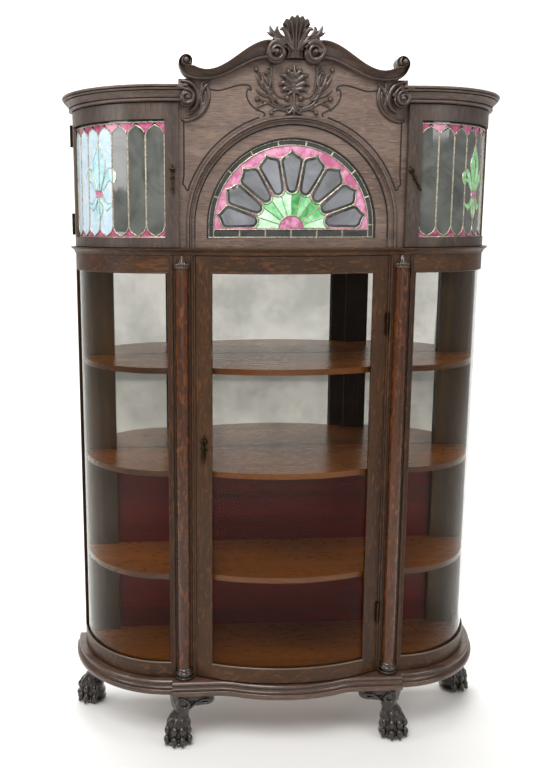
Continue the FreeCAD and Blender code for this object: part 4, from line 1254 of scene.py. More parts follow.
    def base(self) -> Thing:
        """Base frame with its rear rail: two rounds, quirks and a hollow, run all round the front."""
        plan = self.shop.plan
        half = [("side", 0, self.rear), ("side", 0, plan.bay_y)]
        half += [("bay", angle, 0) for angle in range(87, 0, -3)]
        half += [("front", x, y) for x, y in self.base_line()]
        rings = [self.base_ring(-1, *station) for station in half]
        rings += [self.base_ring(1, *station) for station in half[-2::-1]]
        inside, near = plan.bay_x + plan.bay_wide - self.base_width + 1, self.rear - self.base_width
        rail = [(-inside, near), (inside, near), (inside, self.rear), (-inside, self.rear)]
        board = plate(
            [(x, y, self.base_low) for x, y in rail], (0, 0, self.base_high - self.base_low)
        )
        return joined([loft(rings, "base"), board], "base_run")

    def build(self) -> None:
        """Runs both cornices, the base and the arch."""
        shop = self.shop
        base = shop.fit(self.base(), "case", shop.finishes.base, "dark_oak")
        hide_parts("base_moulding")
        shop.pair(self.cornice(), "run_cornice", shop.finishes.sheen_oak, "dark_oak", "cornice")
        shop.pair(self.scroll(), "cornice_scroll", shop.finishes.carved, "dark_oak")
        arch = shop.fit(self.arch(), "case", shop.finishes.sheen_oak, "dark_oak")
        arch.name = "arch_ring"
        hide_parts("arch_moulding")
        # The arch beads wear the near-black finish as painted shade.
        for bead in self.arch_beads:
            shop.fit(self.bead(*bead), "case", shop.finishes.shadow_line, "dark_oak")


# ------------------------------------------------------------------ beads
@dataclass
class Beads:
    """Small half-round mouldings round the glass and beside the columns."""

    shop: Shop
    glass_low: float = 240
    glass_high: float = 1341
    door_low: float = 241
    door_half: float = 215
    rear_y: float = 266
    bead: float = 2.6
    strip: float = 4
    strip_reach: float = 26.5
    strip_low: float = 197.5
    strip_high: float = 1384.5

    def frame(self, low: list[Point], high: list[Point]) -> list[Thing]:
        """Bead over the glass and down both its sides."""
        sides = [rod([low[end], high[end]], [self.bead], 2, False) for end in (0, -1)]
        return [rod(high, [self.bead], 2), *sides]

    def bay(self) -> tuple[list[Point], list[Point]]:
        """Lines under and over the right bay's glass."""
        plan = self.shop.plan
        run = [plan.bay(index * 4, -1.5) for index in range(22)]
        run = [place for place in run if place[1] < self.rear_y]
        run[0] = (plan.bay_x + 1.5, run[0][1])
        return [(x, y, self.glass_low + 1) for x, y in run], [
            (x, y, self.glass_high - 1) for x, y in run
        ]

    def door(self) -> tuple[list[Point], list[Point]]:
        """Lines under and over the middle door's glass."""
        xs = [self.door_half * (index / 12 - 1) for index in range(25)]
        run = [(x, self.shop.plan.bow(x) + 2) for x in xs]
        return [(x, y, self.door_low + 1) for x, y in run], [
            (x, y, self.glass_high - 1) for x, y in run
        ]

    def soft(self, parts: Sequence[Thing], name: str) -> Thing:
        """Joins beads into one smoothly shaded piece."""
        piece = joined(parts, name)
        piece.data.shade_smooth()
        return piece

    def build(self) -> None:
        """Makes the beads of the bays and the door, and the strips of the posts."""
        shop, dark, light = self.shop, self.shop.finishes.upright, self.shop.finishes.bead
        low, high = self.bay()
        glass, sill = self.frame(low, high), [rod(low, [self.bead], 2)]
        # The sill beads take the lighter bead finish as painted highlight; the beads over and beside
        # the glass keep the dark oak.
        shop.pair(self.soft(glass, "bay_glass_bead"), "bay_glass_bead", dark, "dark_oak")
        shop.pair(self.soft(sill, "bay_sill_bead"), "bay_sill_bead", light, "dark_oak")
        low, high = self.door()
        glass, sill = self.frame(low, high), [rod(low, [self.bead], 2)]
        shop.fit(self.soft(glass, "door_glass_bead"), "main_door", dark, "dark_oak")
        shop.fit(self.soft(sill, "door_sill_bead"), "main_door", light, "dark_oak")
        xs = [shop.plan.post_x + side * self.strip_reach for side, _ in SIDES]
        strips = [
            rod([(x, -0.5, self.strip_low), (x, -0.5, self.strip_high)], [self.strip], 3, False)
            for x in xs
        ]
        shop.pair(self.soft(strips, "post_bead"), "post_bead", dark, "dark_oak")


# ------------------------------------------------------------------ pediment
@dataclass
class Pediment:
    """Swan-neck arms with their scrolls, and the crest."""

    shop: Shop
    low_x: float = 228
    high_x: float = 66
    under: Flat = (1827, 1878)
    over: Flat = (1848, 1920)
    end_eye: Flat = (277, 1869)
    mid_eye: Flat = (49, 1892)
    back: float = 44
    total: float = 1980
    bend: tuple = (
        ((242, 1826), (241, 1850)), ((256, 1826.5), (251, 1853.5)), ((269, 1829.5), (258, 1857)),
        ((281, 1836), (266, 1857.5)), ((289, 1844.5), (275, 1858.5)),
    )

    def section(self, outer: Flat, inner: Flat, depth: float) -> list[Point]:
        """Ring of the arm's moulding between its lower and its upper edge.

        Args:
            outer: Lower or outer edge, as x and z.
            inner: Upper or inner edge.
            depth: Share of the full depth at this station.

        Returns:
            The ring's points.
        """
        shape = [(0, 44), (1, 44), (1, -14.5), (0.98, -16), (0.93, -15.8), (0.9, -13.4)]
        for step in range(7):
            turn = math.radians(15 * step)
            shape.append((0.26 + 0.61 * math.cos(turn), -11 + 24 * math.sin(turn)))
        shape.extend([(0.24, 15), (0.2, 15), (0.19, 6), (0.13, 3), (0.06, 4), (0.02, 8)])
        ring = []
        for share, y in shape:
            x = outer[0] + (inner[0] - outer[0]) * share
            z = outer[1] + (inner[1] - outer[1]) * share
            ring.append((x, self.back - (self.back - y) * depth, z))
        return ring

    def arm(self) -> Thing:
        """Right arm: from its inner end down the swan neck and round the end scroll."""
        rings = []
        count = 18
        for index in range(count + 1):
            share = index / count
            rise = (1 + math.cos(math.pi * share)) / 2
            x = self.high_x + (self.low_x - self.high_x) * share
            low = self.under[0] + (self.under[1] - self.under[0]) * rise
            high = self.over[0] + (self.over[1] - self.over[0]) * rise
            rings.append(self.section((x, low), (x, high), 1))
        rings += [self.section(outer, inner, 1) for outer, inner in self.bend]
        turns = 22
        for index in range(turns + 1):
            share = index / turns
            angle = -38 + 350 * share
            outside = 21.5 - 3.5 * min(1, share * 5) - 6.5 * max(0, share - 0.45) / 0.55
            inside = outside - (12 - 6.5 * min(1, share * 2))
            outer, inner = (polar(self.end_eye, radius, angle) for radius in (outside, inside))
            rings.append(self.section(outer, inner, 1 + 0.1 * share))
        return loft(rings, "arm")

    def scrolls(self) -> list[Thing]:
        """Ball eyes, the middle scroll and its core."""
        x, z = self.end_eye
        parts = [ball((x, -17.5, z), (7, 6.5, 7), fine=20)]
        parts.append(ball((x, 10, z), (14, 28, 14), fine=20))
        x, z = self.mid_eye
        parts.append(
            rod(
                spiral((x, z), (25.5, 10), (140, -380), 30, -12),
                [5.6] * 14 + [4.2] * 9 + [3.4] * 8, 5,
            )
        )
        parts.append(rod(spiral((x, z), (19, 19), (0, 360), 16, 12), [9], 4))
        parts.append(ball((x, -15, z), (6.6, 7, 6.6), fine=20))
        parts.append(ball((x, 16, z), (22, 22, 22), fine=24))
        parts.append(
            rod([(x - 24, 4, z + 12), (x - 2, 0, z + 28), (x + 24, 2, z + 24)], [6, 6.5, 6], 4)
        )
        return parts

    def palmette(self) -> Thing:
        """Fluted fan of the crest: upright flutes that spread and curl over at the top."""
        levels = [
            (1880, 26, 6, 0.5), (1893, 21, 1, 2), (1906, 17, -1, 4), (1922, 18, -1, 6),
            (1938, 22, -3, 7), (1950, 27, -6, 7.5), (1960, 32, -11, 7), (1967, 35, -16, 6),
            (1971, 35, -19, 4), (1972, 33, -16, 2), (1969, 29, -9, 1),
        ]
        lobes, count = 5, 60
        rings = []
        for level, half, front, flute in levels:
            lift = max(0, (level - 1940) / 34)
            ring = []
            for index in range(count + 1):
                share = index / count
                side = 2 * share - 1
                wave = abs(math.sin(math.pi * lobes * share))
                crown = (7 * wave - 14 * side * side) * lift
                depth = front + 10 * side * side - flute * wave + 2
                ring.append((half * side, depth, level + crown))
            ring.append((half * 0.9, 22, level - 4 * lift))
            ring.append((-half * 0.9, 22, level - 4 * lift))
            rings.append(ring)
        return loft(rings, "palmette")

    def crest(self) -> Thing:
        """Palmette with two leaves at each side and the panel's point behind its neck."""
        parts = [self.palmette()]
        outline = [(-52, 1868), (52, 1868), (40, 1905), (22, 1926), (-22, 1926), (-40, 1905)]
        parts.append(plate([(x, 32, z) for x, z in outline], (0, 11, 0)))
        runs = [
            (
                [(8, 8, 1900), (18, 2, 1922), (25, -2, 1940), (37, -6, 1950), (41, -8, 1943)],
                [6, 7.5, 7, 5, 3],
            ),
            (
                [
                    (14, 10, 1902), (28, 6, 1920), (44, 5, 1928), (57, 3, 1934), (64, 2, 1945),
                    (67, 1, 1956),
                ],
                [7, 9, 9.5, 8, 5.5, 1.8],
            ),
            ([(36, 3, 1926), (48, 0, 1938), (50, -2, 1950), (45, -3, 1953)], [6, 6, 4, 2]),
            ([(56, 3, 1932), (68, 2, 1934), (74, 1, 1941)], [5, 4, 1.5]),
            ([(10, 0, 1908), (26, -3, 1924), (42, -3, 1934), (56, -2, 1942)], [2.5, 3, 3, 2]),
            ([(6, 2, 1898), (20, -4, 1914), (38, -5, 1921), (60, -2, 1924)], [3.5, 4.5, 4.5, 3.5]),
        ]
        for side in (-1, 1):
            for points, sizes in runs:
                parts.append(rod([(side * x, y, z) for x, y, z in points], sizes, 4))
        parts += both((34, 12, 1924), (22, 9, 11), (0, -22, 0), 18)
        return carved(parts, "leaf_crest", 1.15, 1)

    def build(self) -> None:
        """Makes the arms, scrolls and crest."""
        shop = self.shop
        shop.pair(self.arm(), "swan_neck", shop.finishes.sheen_oak, "carved_oak", "pediment_arm")
        shop.pair(
            carved(self.scrolls(), "scrolls", 1.4, 1), "arm_scrolls", shop.finishes.carved,
            "carved_oak",
        )
        crest = shop.fit(self.crest(), "case", shop.finishes.carved, "carved_oak")
        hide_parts("crest")


# ------------------------------------------------------------------ frieze
@dataclass
class Frieze:
    """Cartouche, scroll brackets and border lines carved on the frieze panel."""

    shop: Shop
    face: float = 24
    arch_z: float = 1462
    arc_radius: float = 288

    def line(self, points: Sequence[Flat], radii: Sequence[float], proud: float = 1.5) -> Thing:
        """Bar of carving on the panel, through x and z."""
        return rod([(x, self.face - proud, z) for x, z in points], radii, 3)

    def mirrored(self, points: Sequence[Flat], radii: Sequence[float], proud: float) -> list:
        """The same bar on the left and on the right."""
        return [self.line([(side * x, z) for x, z in points], radii, proud) for side, _ in SIDES]

    def palmette(self) -> list[Thing]:
        """Leaf of four pairs of lobes with a middle bud, its stalk and its tulip foot."""
        parts = [self.line([(0, 1836), (0, 1850), (0, 1868)], [6, 7, 1.2], 5)]
        parts.append(ball((0, self.face, 1822), (24, 4, 32), fine=24))
        parts.append(self.line([(0, 1842), (0, 1800), (0, 1744)], [4.4, 5, 3.6], 3))
        lobes = [
            ([(3, 1832), (9, 1843), (16, 1851), (19, 1856)], [3.4, 6.6, 6, 1.8]),
            ([(4, 1822), (16, 1832), (27, 1840), (33, 1837)], [3.6, 7, 6.6, 3.4]),
            ([(4, 1812), (18, 1818), (31, 1823), (37, 1816)], [3.8, 7, 6.6, 3.6]),
            ([(4, 1804), (16, 1806), (28, 1807), (33, 1799)], [3.8, 6.4, 6, 3.6]),
            ([(3, 1800), (10, 1797), (17, 1792)], [3.4, 4.2, 2.4]),
        ]
        for points, radii in lobes:
            parts += self.mirrored(points, radii, 4)
        parts += both((17.5, self.face - 4.5, 1783), (7.8, 7.5, 7.8), fine=18)
        parts += self.mirrored(
            [(0, 1762), (7, 1750), (15, 1745), (21, 1743)], [3.4, 4.4, 4.2, 1.4], 3,
        )
        parts.append(self.line([(0, 1756), (0, 1745), (0, 1735)], [4, 4.4, 1.4], 4))
        return parts

    def sprays(self) -> list[Thing]:
        """Scrolled stems with pods, leaves and berries, both sides."""
        runs = [
            (
                [(4, 1762), (18, 1754), (40, 1756), (60, 1768), (76, 1776), (92, 1780)],
                [3, 3.4, 3.2, 3, 2.8, 2.2], 2,
            ),
            (
                [(18, 1756), (44, 1762), (62, 1782), (70, 1808), (80, 1832), (96, 1850)],
                [2.6, 3.2, 4, 4.2, 3.4, 2.4], 2.5,
            ),
            ([(66, 1796), (74, 1808), (80, 1824), (84, 1842)], [2.4, 5.4, 5.6, 1.6], 3),
            ([(72, 1800), (84, 1812), (92, 1828), (98, 1838)], [2, 4.4, 4.4, 1.4], 2.5),
            ([(64, 1800), (62, 1818), (64, 1836), (72, 1848)], [2.4, 4.2, 4.4, 2], 3),
            (
                [
                    (58, 1862), (61, 1848), (56, 1826), (54, 1806), (46, 1790), (32, 1783),
                    (22, 1784),
                ],
                [3.4, 3.4, 3, 2.4, 2.2, 2.2, 2], 2,
            ),
            ([(70, 1858), (60, 1858), (56, 1864)], [3, 3.6, 3], 3),
            ([(10, 1768), (20, 1764), (34, 1766), (46, 1776)], [2, 2.8, 2.8, 1.8], 2),
            ([(44, 1780), (54, 1778), (62, 1786), (60, 1796)], [3.4, 4.4, 4, 2], 3),
            ([(62, 1786), (76, 1788), (90, 1796), (100, 1806)], [2.4, 3.6, 3.4, 1.4], 2),
            ([(64, 1772), (80, 1768), (94, 1762), (98, 1752)], [2.4, 3.4, 3, 1.4], 2),
            ([(14, 1750), (30, 1755), (46, 1756), (58, 1750)], [2.4, 3.2, 3, 2], 2),
        ]
        berries = [
            (98, 1853, 6), (95, 1781, 6.6), (73, 1845, 5.2), (58, 1747, 5.6), (60, 1797, 4.4),
            (34, 1840, 3.6), (38, 1816, 3.6),
        ]
        parts = []
        for points, radii, proud in runs:
            parts += self.mirrored(points, radii, proud)
        for x, z, size in berries:
            parts += both((x, self.face - 4, z), (size, size, size), fine=16)
        return parts

    def brackets(self) -> list[Thing]:
        """Two C-scrolls and a forked leaf under the end of each arm."""
        runs = [
            (
                [
                    (224, 1816), (220, 1800), (220, 1778), (230, 1753), (251, 1735), (276, 1725),
                    (290, 1729), (286, 1736),
                ],
                [3, 5.4, 6.6, 7, 6.6, 5, 3.8, 2.6], 1,
            ),
            (
                [(231, 1806), (227, 1790), (231, 1766), (250, 1743), (276, 1734)],
                [2, 3.4, 5, 5, 2.6], 1.5,
            ),
            (
                [(290, 1824), (270, 1823), (251, 1806), (246, 1780), (254, 1758), (268, 1750)],
                [5, 6.4, 7.6, 8, 6.4, 4.4], 4,
            ),
            ([(284, 1814), (266, 1806), (260, 1788)], [4, 5, 4], 6),
            (
                [(258, 1817), (247, 1804), (240, 1786), (238, 1764), (246, 1746)],
                [2, 3.8, 3.4, 2.6, 1.8], 4,
            ),
            ([(214, 1823), (226, 1814), (236, 1800), (240, 1784)], [2.2, 4.2, 4, 2.6], 4),
            ([(236, 1826), (238, 1812), (240, 1798)], [2, 3.6, 2.6], 4),
        ]
        parts = []
        for points, radii, proud in runs:
            parts += self.mirrored(points, radii, proud)
        return parts

    def border(self) -> Thing:
        """Thin black line that frames the two fields of the panel; its black is painted shade, for
        the shadow in an incised groove.
        """
        arc = [polar((0, self.arch_z), self.arc_radius, angle) for angle in range(20, 74, 4)]
        field_line = [
            (283.5, 1733), (283.5, 1660), (283.5, 1590), (286, 1576), (287, 1566), (281, 1562),
            (278, 1552), (272, 1552), (271, 1562),
        ]
        top = [
            (78, 1738), (72, 1744), (80, 1749), (104, 1758), (122, 1782), (122, 1804), (112, 1806),
            (110, 1800), (112, 1814),
        ]
        top += [(130, 1817), (152, 1813), (176, 1805), (198, 1800), (216, 1804)]
        parts = [
            rod([(side * x, self.face - 0.2, z) for x, z in run], [1.7], 2)
            for run in (field_line + arc, top) for side, _ in SIDES
        ]
        piece = joined(parts, "frieze_border")
        piece.data.shade_smooth()
        return piece

    def build(self) -> None:
        """Carves the cartouche and brackets as one relief, and lays the border."""
        shop = self.shop
        relief = carved(self.palmette() + self.sprays() + self.brackets(), "frieze_relief", 1.2, 1)
        shop.fit(relief, "case", shop.finishes.carved, "carved_oak")
        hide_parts("frieze_carvings")
        shop.fit(self.border(), "case", shop.finishes.shadow_line, "dark_oak")


# ------------------------------------------------------------------ leaded glass
def pane(
    corners: Sequence[Point], depth: Point, bevel: float = 0, glass: Sequence[Look] = (),
) -> Thing:
    """Pane of glass.

    Args:
        corners: Its outline in order, in millimetres.
        depth: Its thickness as a pull, in millimetres.
        bevel: Width of the bevel ground round its front.
        glass: Glass of its middle and of its bevel.

    Returns:
        The pane.
    """
    item = plate(corners, depth)
    if bevel <= 0:
        return item
    for material in glass:
        item.data.materials.append(material)
    take(item)
    front = min(item.data.polygons, key=lambda face: face.center.y).index
    bpy.ops.object.mode_set(mode="EDIT")
    bpy.ops.mesh.select_mode(type="FACE")
    bpy.ops.mesh.select_all(action="DESELECT")
    bpy.ops.object.mode_set(mode="OBJECT")
    item.data.polygons[front].select = True
    bpy.ops.object.mode_set(mode="EDIT")
    bpy.ops.mesh.inset(thickness=bevel * MM, depth=bevel * 0.25 * MM)
    bpy.ops.object.mode_set(mode="OBJECT")
    for face in item.data.polygons:
        face.material_index = 0 if face.select else 1
    return item


@dataclass
class Lunette:
    """Half-round leaded window of the frieze."""

    shop: Shop
    centre_z: float = 1454
    opening: float = 221
    arch_z: float = 1462
    sill: float = 1428
    strip_top: float = 1449
    front: float = 36.6
    depth: float = 2.8
    hub: float = 33
    fan: float = 90
    fan_wedges: int = 10
    petals: int = 9
    petal_tip: float = 201
    border_in: float = 206
    border_out: float = 224
    cells: int = 6

    def place(self, radius: float, angle: float) -> Flat:
        """x and z at a radius and an angle in degrees about the fan's centre."""
        return polar((0, self.centre_z), radius, angle)

    def edge(self, radius: float, angle: float) -> Flat:
        """x and z on a circle about the arch's own centre."""
        return polar((0, self.arch_z), radius, angle)

    def cut(self, outline: Iterable[Flat], bevel: float = 0, sink: float = 0) -> Thing:
        """Pane with that outline, sunk behind the others if its edges run under them."""
        finishes = self.shop.finishes
        middle = finishes.petal if bevel > 4 else finishes.dusk
        corners = [(x, self.front + sink, z) for x, z in outline]
        return pane(corners, (0, self.depth, 0), bevel, (middle, finishes.bevel))

    def came(self, outline: Sequence[Flat], width: float = 2.3, soft: bool = False) -> Thing:
        """Lead came along a run."""
        return rod([(x, self.front + 0.4, z) for x, z in outline], [width], 2, soft)

    def wedges(self) -> tuple[dict, list]:
        """Fan of glass wedges of three greens, with its cames."""
        tones = ("mint", "mint", "green", "mint", "mint", "moss", "green", "moss", "green", "mint")
        step = 180 / self.fan_wedges
        panes: dict[str, list] = {"mint": [], "green": [], "moss": []}
        cames = []
        for index, tone in enumerate(reversed(tones)):
            low = index * step
            outer = [self.place(self.fan + 8, low + step * share) for share in (0, 0.33, 0.67, 1)]
            inner = [self.place(self.hub, low + step * share) for share in (1, 0.5, 0)]
            panes[tone].append(self.cut(outer + inner, sink=0.5))
            cames.append(self.came([self.place(self.hub, low), self.place(self.fan - 2, low)], 1.5))
        return panes, cames

    def petal(self, middle: float) -> tuple[Thing, list]:
        """Bevelled petal about an angle, with the cames at its head and foot."""
        half = 90 / self.petals
        head = [
            (172, 0.93), (180, 0.84), (185, 0.62), (189, 0.34), (194, 0.14), (self.petal_tip, 0),
        ]
        foot = [
            (self.fan + 24, 0.84), (self.fan + 9, 0.74), (self.fan + 3, 0.4), (self.fan + 1.5, 0),
        ]
        right = [self.place(radius, middle - half * share) for radius, share in reversed(foot)]
        right += [self.place(radius, middle - half * share) for radius, share in head]
        left = [self.place(radius, middle + half * share) for radius, share in reversed(head[:-1])]
        left += [self.place(radius, middle + half * share) for radius, share in foot[:-1]]
        glass = self.cut(right + left, 6)
        run = [
            self.place(radius + 1.5, middle - half * min(1, share * 1.08)) for radius, share in head
        ]
        run += [
            self.place(radius + 1.5, middle + half * min(1, share * 1.08)) for radius,
            share in reversed(head[:-1])
        ]
        cames = [
            self.came(
                [self.place(170, middle - half)] + run + [self.place(170, middle + half)], 2.1,
            )
        ]
        scallop = [(self.fan + 14, 1), (self.fan + 4, 0.86), (self.fan - 1, 0.4)]
        curve = [self.place(radius, middle - half * share) for radius, share in scallop]
        curve += [self.place(radius, middle + half * share) for radius, share in reversed(scallop)]
        cames.append(self.came(curve, 2.2, True))
        return glass, cames

    def border(self) -> tuple[list, list]:
        """Ring of small dark panes and the strip along the sill, with their cames."""
        panes, cames = [], []
        for index in range(9):
            angles = [index * 20 + share for share in (0.5, 5, 10, 15, 19.5)]
            ring = [self.edge(self.border_out, angle) for angle in angles]
            ring.extend(self.edge(self.border_in, angle) for angle in reversed(angles))
            panes.append(self.cut(ring, 2.6))
            cames.append(
                self.came(
                    [self.edge(self.border_in, index * 20), self.edge(self.border_out, index * 20)],
                    2.6,
                )
            )
        for side in (-1, 1):
            sides = [
                (self.border_in, self.sill), (self.border_out, self.sill),
                (self.border_out, self.arch_z), (self.border_in, self.arch_z),
            ]
            panes.append(self.cut([(side * x, z) for x, z in sides], 2.6))
        size = 2 * self.border_in / self.cells
        for index in range(self.cells):
            left = -self.border_in + index * size
            box = [
                (left + 0.5, self.sill), (left + size - 0.5, self.sill),
                (left + size - 0.5, self.strip_top), (left + 0.5, self.strip_top),
            ]
            panes.append(self.cut(box, 3))
            cames.append(self.came([(left, self.sill), (left, self.strip_top)], 2.6))
        for radius in (self.border_in, self.opening - 1.5):
            arc = [self.edge(radius, angle) for angle in range(0, 181, 6)]
            cames.append(
                self.came([(radius, self.sill + 2)] + arc + [(-radius, self.sill + 2)], 2.1, True)
            )
        for level, reach in ((self.sill + 2, self.opening), (self.strip_top + 1.5, self.border_in)):
            cames.append(self.came([(-reach, level), (reach, level)], 2.4))
        return panes, cames

    def build(self) -> None:
        """Cuts all panes and leads them up."""
        shop, finishes = self.shop, self.shop.finishes
        greens, cames = self.wedges()
        cames.append(
            self.came([self.place(self.hub, angle) for angle in range(0, 181, 12)], 1.9, True)
        )
        pink = [self.cut([self.place(self.hub, angle) for angle in range(0, 181, 12)], sink=0.3)]
        sheet = [self.edge(self.border_in + 2, angle) for angle in range(0, 181, 6)]
        pink.append(
            self.cut(
                sheet + [
                    (-self.border_in, self.strip_top - 1), (self.border_in, self.strip_top - 1),
                ],
                sink=0.8,
            )
        )
        petals = []
        width = 180 / self.petals
        for index in range(self.petals):
            glass, leads = self.petal((index + 0.5) * width)
            petals.append(glass)
            cames += leads
            if index:
                cames.append(
                    self.came(
                        [self.place(self.fan + 12, index * width), self.place(172, index * width)],
                        2.4,
                    )
                )
        border, leads = self.border()
        cames += leads
        groups = [
            (greens[tone], "lunette_" + tone + "_panes", getattr(finishes, tone))
            for tone in ("mint", "green", "moss")
        ]
        groups.append((pink, "lunette_pink_panes", finishes.pink))
        for parts, name, finish in groups:
            shop.fit(joined(parts, name), "case", finish, "leaded_glass")
        for parts, name in ((petals, "lunette_petals"), (border, "lunette_border")):
            shop.fit(joined(parts, name), "case", None, "leaded_glass")
        lead = joined(cames, "lunette_cames")
        lead.data.shade_smooth()
        shop.fit(lead, "case", finishes.lead, "leaded_glass")
        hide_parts("lunette_glass")


@dataclass
class DoorLights:
    """Leaded glass of an upper door, laid out flat and bent round the bay.

    The layout's first number runs along the glass from the front stile to the rear one,
    in pitches of one light; the second is the height in millimetres.
    """

    shop: Shop
    start_x: float = 333.5
    end_y: float = 222
    low: float = 1430
    high: float = 1728
    lights: int = 7
    tip: float = 26
    offset: float = -8.4
    depth: float = 3
    fleur: float = 4
    band: float = 1544
    samples: int = 3000

    def __post_init__(self) -> None:
        """Measures the glass along its bend."""
        plan = self.shop.plan
        self.track: list[tuple[float, float]] = []
        last, length = None, 0
        for index in range(self.samples + 1):
            angle = 90 * index / self.samples
            place = plan.bay(angle, self.offset)
            if place[0] < self.start_x or place[1] > self.end_y:
                continue
            if last is not None:
                length += math.dist(last, place)
            self.track.append((length, angle))
            last = place
        self.pitch = length / self.lights

    def angle(self, along: float) -> float:
        """Angle of the bay at a distance along the glass, in pitches."""
        target = along * self.pitch
        for length, angle in self.track:
            if length >= target:
                return angle
        return self.track[-1][1]

    def at(self, along: float, height: float, sink: float = 0) -> Point:
        """Point on the bent face of the glass."""
        x, y = self.shop.plan.bay(self.angle(along), self.offset - sink)
        return x, y, height

    def cut(self, outline: Sequence[Flat], sink: float = 0) -> Thing:
        """Pane through points of the layout, bent with the glass, as a thin closed solid."""
        rings = [
            [self.at(a, h, sink) for a, h in outline],
            [self.at(a, h, sink + self.depth) for a, h in outline]
        ]
        return loft(rings, "pane", False)

    def came(self, outline: Sequence[Flat], width: float = 2, soft: bool = False) -> Thing:
        """Lead came along a run of the layout."""
        points = []
        for (a0, h0), (a1, h1) in zip(outline, outline[1:]):
            steps = max(1, int(abs(a1 - a0) * 6))
            points.extend(
                self.at(a0 + (a1 - a0) * step / steps, h0 + (h1 - h0) * step / steps, 0.3)
                for step in range(steps)
            )
        points.append(self.at(*outline[-1], 0.3))
        return rod(points, [width], 2, soft)

    def lancet(self, left: float) -> list[Flat]:
        """Outline of one upright light, with an ogee point at both ends."""
        low, high, tip = self.low + 3, self.high - 13, self.tip
        ogee = ((0.5, 0), (0.6, 0.14), (0.74, 0.28), (0.86, 0.46), (0.94, 0.7), (0.975, 1))
        right = [(left + share, low + rise * tip) for share, rise in ogee]
        right += [(left + share, high - rise * tip) for share, rise in reversed(ogee)]
        return right + [(2 * left + 1 - share, height) for share, height in reversed(right[1:-1])]

    def triangles(self) -> list[Thing]:
        """Pink glass between the points, along the bottom and the top."""
        panes = []
        for index in range(self.lights + 1):
            left, right = max(0, index - 0.5), min(float(self.lights), index + 0.5)
            panes.append(
                self.cut(
                    [
                        (left, self.low + 1), (right, self.low + 1),
                        (float(index), self.low + self.tip + 6),
                    ],
                    0.5,
                )
            )
            panes.append(
                self.cut(
                    [
                        (left, self.high - 4), (right, self.high - 4),
                        (float(index), self.high - self.tip - 16),
                    ],
                    0.5,
                )
            )
        return panes

    def fleur_de_lis(self) -> tuple[list, list, list]:
        """Lily's panes, the pane of its band, and their cames."""
        petal = [
            (0, 134), (0.1, 122), (0.26, 106), (0.46, 88), (0.52, 74), (0.46, 56), (0.28, 28),
            (0.13, 8),
        ]
        tail = [(0.1, -8), (0.14, -22), (0.27, -36), (0.26, -46), (0.12, -60), (0, -72)]
        wing = [
            (0.18, 8), (0.38, 34), (0.56, 54), (0.78, 66), (1.04, 64), (1.24, 52), (1.28, 38),
            (1.16, 28), (1.00, 24), (0.86, 34), (0.68, 30), (0.48, 16), (0.3, 7),
        ]
        curl = [
            (0.14, -8), (0.32, -9), (0.5, -22), (0.68, -27), (0.9, -24), (0.98, -30), (0.78, -37),
            (0.58, -44), (0.4, -36), (0.2, -20),
        ]
        clasp = [(-0.3, -8), (0.3, -8), (0.3, 8), (-0.3, 8)]
        outlines = [
            petal + [(-a, h) for a, h in reversed(petal[1:])],
            tail + [(-a, h) for a, h in reversed(tail[:-1])]
        ]
        for turn in (-1, 1):
            outlines += [[(turn * a, h) for a, h in outline] for outline in (wing, curl)]
        lily, cames = [], []
        for outline in outlines:
            shape = [(self.fleur + a, self.band + h) for a, h in outline]
            lily.append(self.cut(shape, -0.5))
            cames.append(self.came(shape + shape[:1], 1.5))
        shape = [(self.fleur + a, self.band + h) for a, h in clasp]
        cames.append(self.came(shape + shape[:1], 1.6))
        return lily, [self.cut(shape, -0.7)], cames

    def build(self, side: str, coloured: Look, ground: Look) -> None:
        """Leads up one door.

        Args:
            side: "left" or "right".
            coloured: Glass of the fleur-de-lis; on the left door its pale tint is painted reflection.
            ground: Glass of the lights behind it; on the left door its pale tint is painted
                reflection.
        """
        shop, finishes = self.shop, self.shop.finishes
        lily, clasp, cames = self.fleur_de_lis()
        grey_lights, ground_lights = [], []
        for index in range(self.lights):
            outline = self.lancet(float(index))
            (grey_lights if index < 3 else ground_lights).append(self.cut(outline))
            ends = len(outline) // 4
            cames.append(self.came(outline[-ends:] + outline[:ends + 1], 1.9))
            cames.append(self.came(outline[ends:3 * ends + 1], 1.9))
        for index in range(self.lights + 1):
            if index == int(self.fleur):
                runs = [
                    (self.low + self.tip, self.band - 72),
                    (self.band + 134, self.high - self.tip - 12),
                ]
            else:
                runs = [(self.low + self.tip, self.high - self.tip - 12)]
            cames += [
                self.came([(float(index), low), (float(index), high)], 2.3) for low, high in runs
            ]
        for level in (self.low + 1, self.high - 6):
            cames.append(self.came([(0, level), (float(self.lights), level)], 2))
        steps = self.lights * 6
        sheet = [(index / 6, self.low - 1) for index in range(steps + 1)] + [
            (index / 6, self.high + 1) for index in range(steps, -1, -1)
        ]
        body = side + "_upper_door"
        flip = mirror_x() if side == "left" else Matrix.Identity(4)
        groups = [
            (grey_lights, "grey_lights", finishes.smoke), (ground_lights, "ground_lights", ground),
            (self.triangles(), "pink_panes", finishes.rose), (clasp, "fleur_band", finishes.pink),
            (lily, "fleur_de_lis", coloured),
            # The dark backing sheet shows as a black band along the top and bottom of the lights,
            # painted shadow of the rebate, and fills the gaps between the panes.
            ([self.cut(sheet, 2.6)], "shadow_backing_pane", finishes.dusk),
        ]
        for parts, name, finish in groups:
            piece = joined(parts, side + "_" + name)
            self.turned(piece, flip)
            shop.fit(piece, body, finish, "leaded_glass")
        lead = joined(cames, side + "_door_cames")
        lead.data.shade_smooth()
        self.turned(lead, flip)
        shop.fit(lead, body, finishes.lead, "leaded_glass")
        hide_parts(side + "_upper_glass")

    def turned(self, item: Thing, flip: Matrix) -> None:
        """Mirrors a piece in place where the door is the left one."""
        item.data.transform(flip)
        if flip.determinant() < 0:
            item.data.flip_normals()


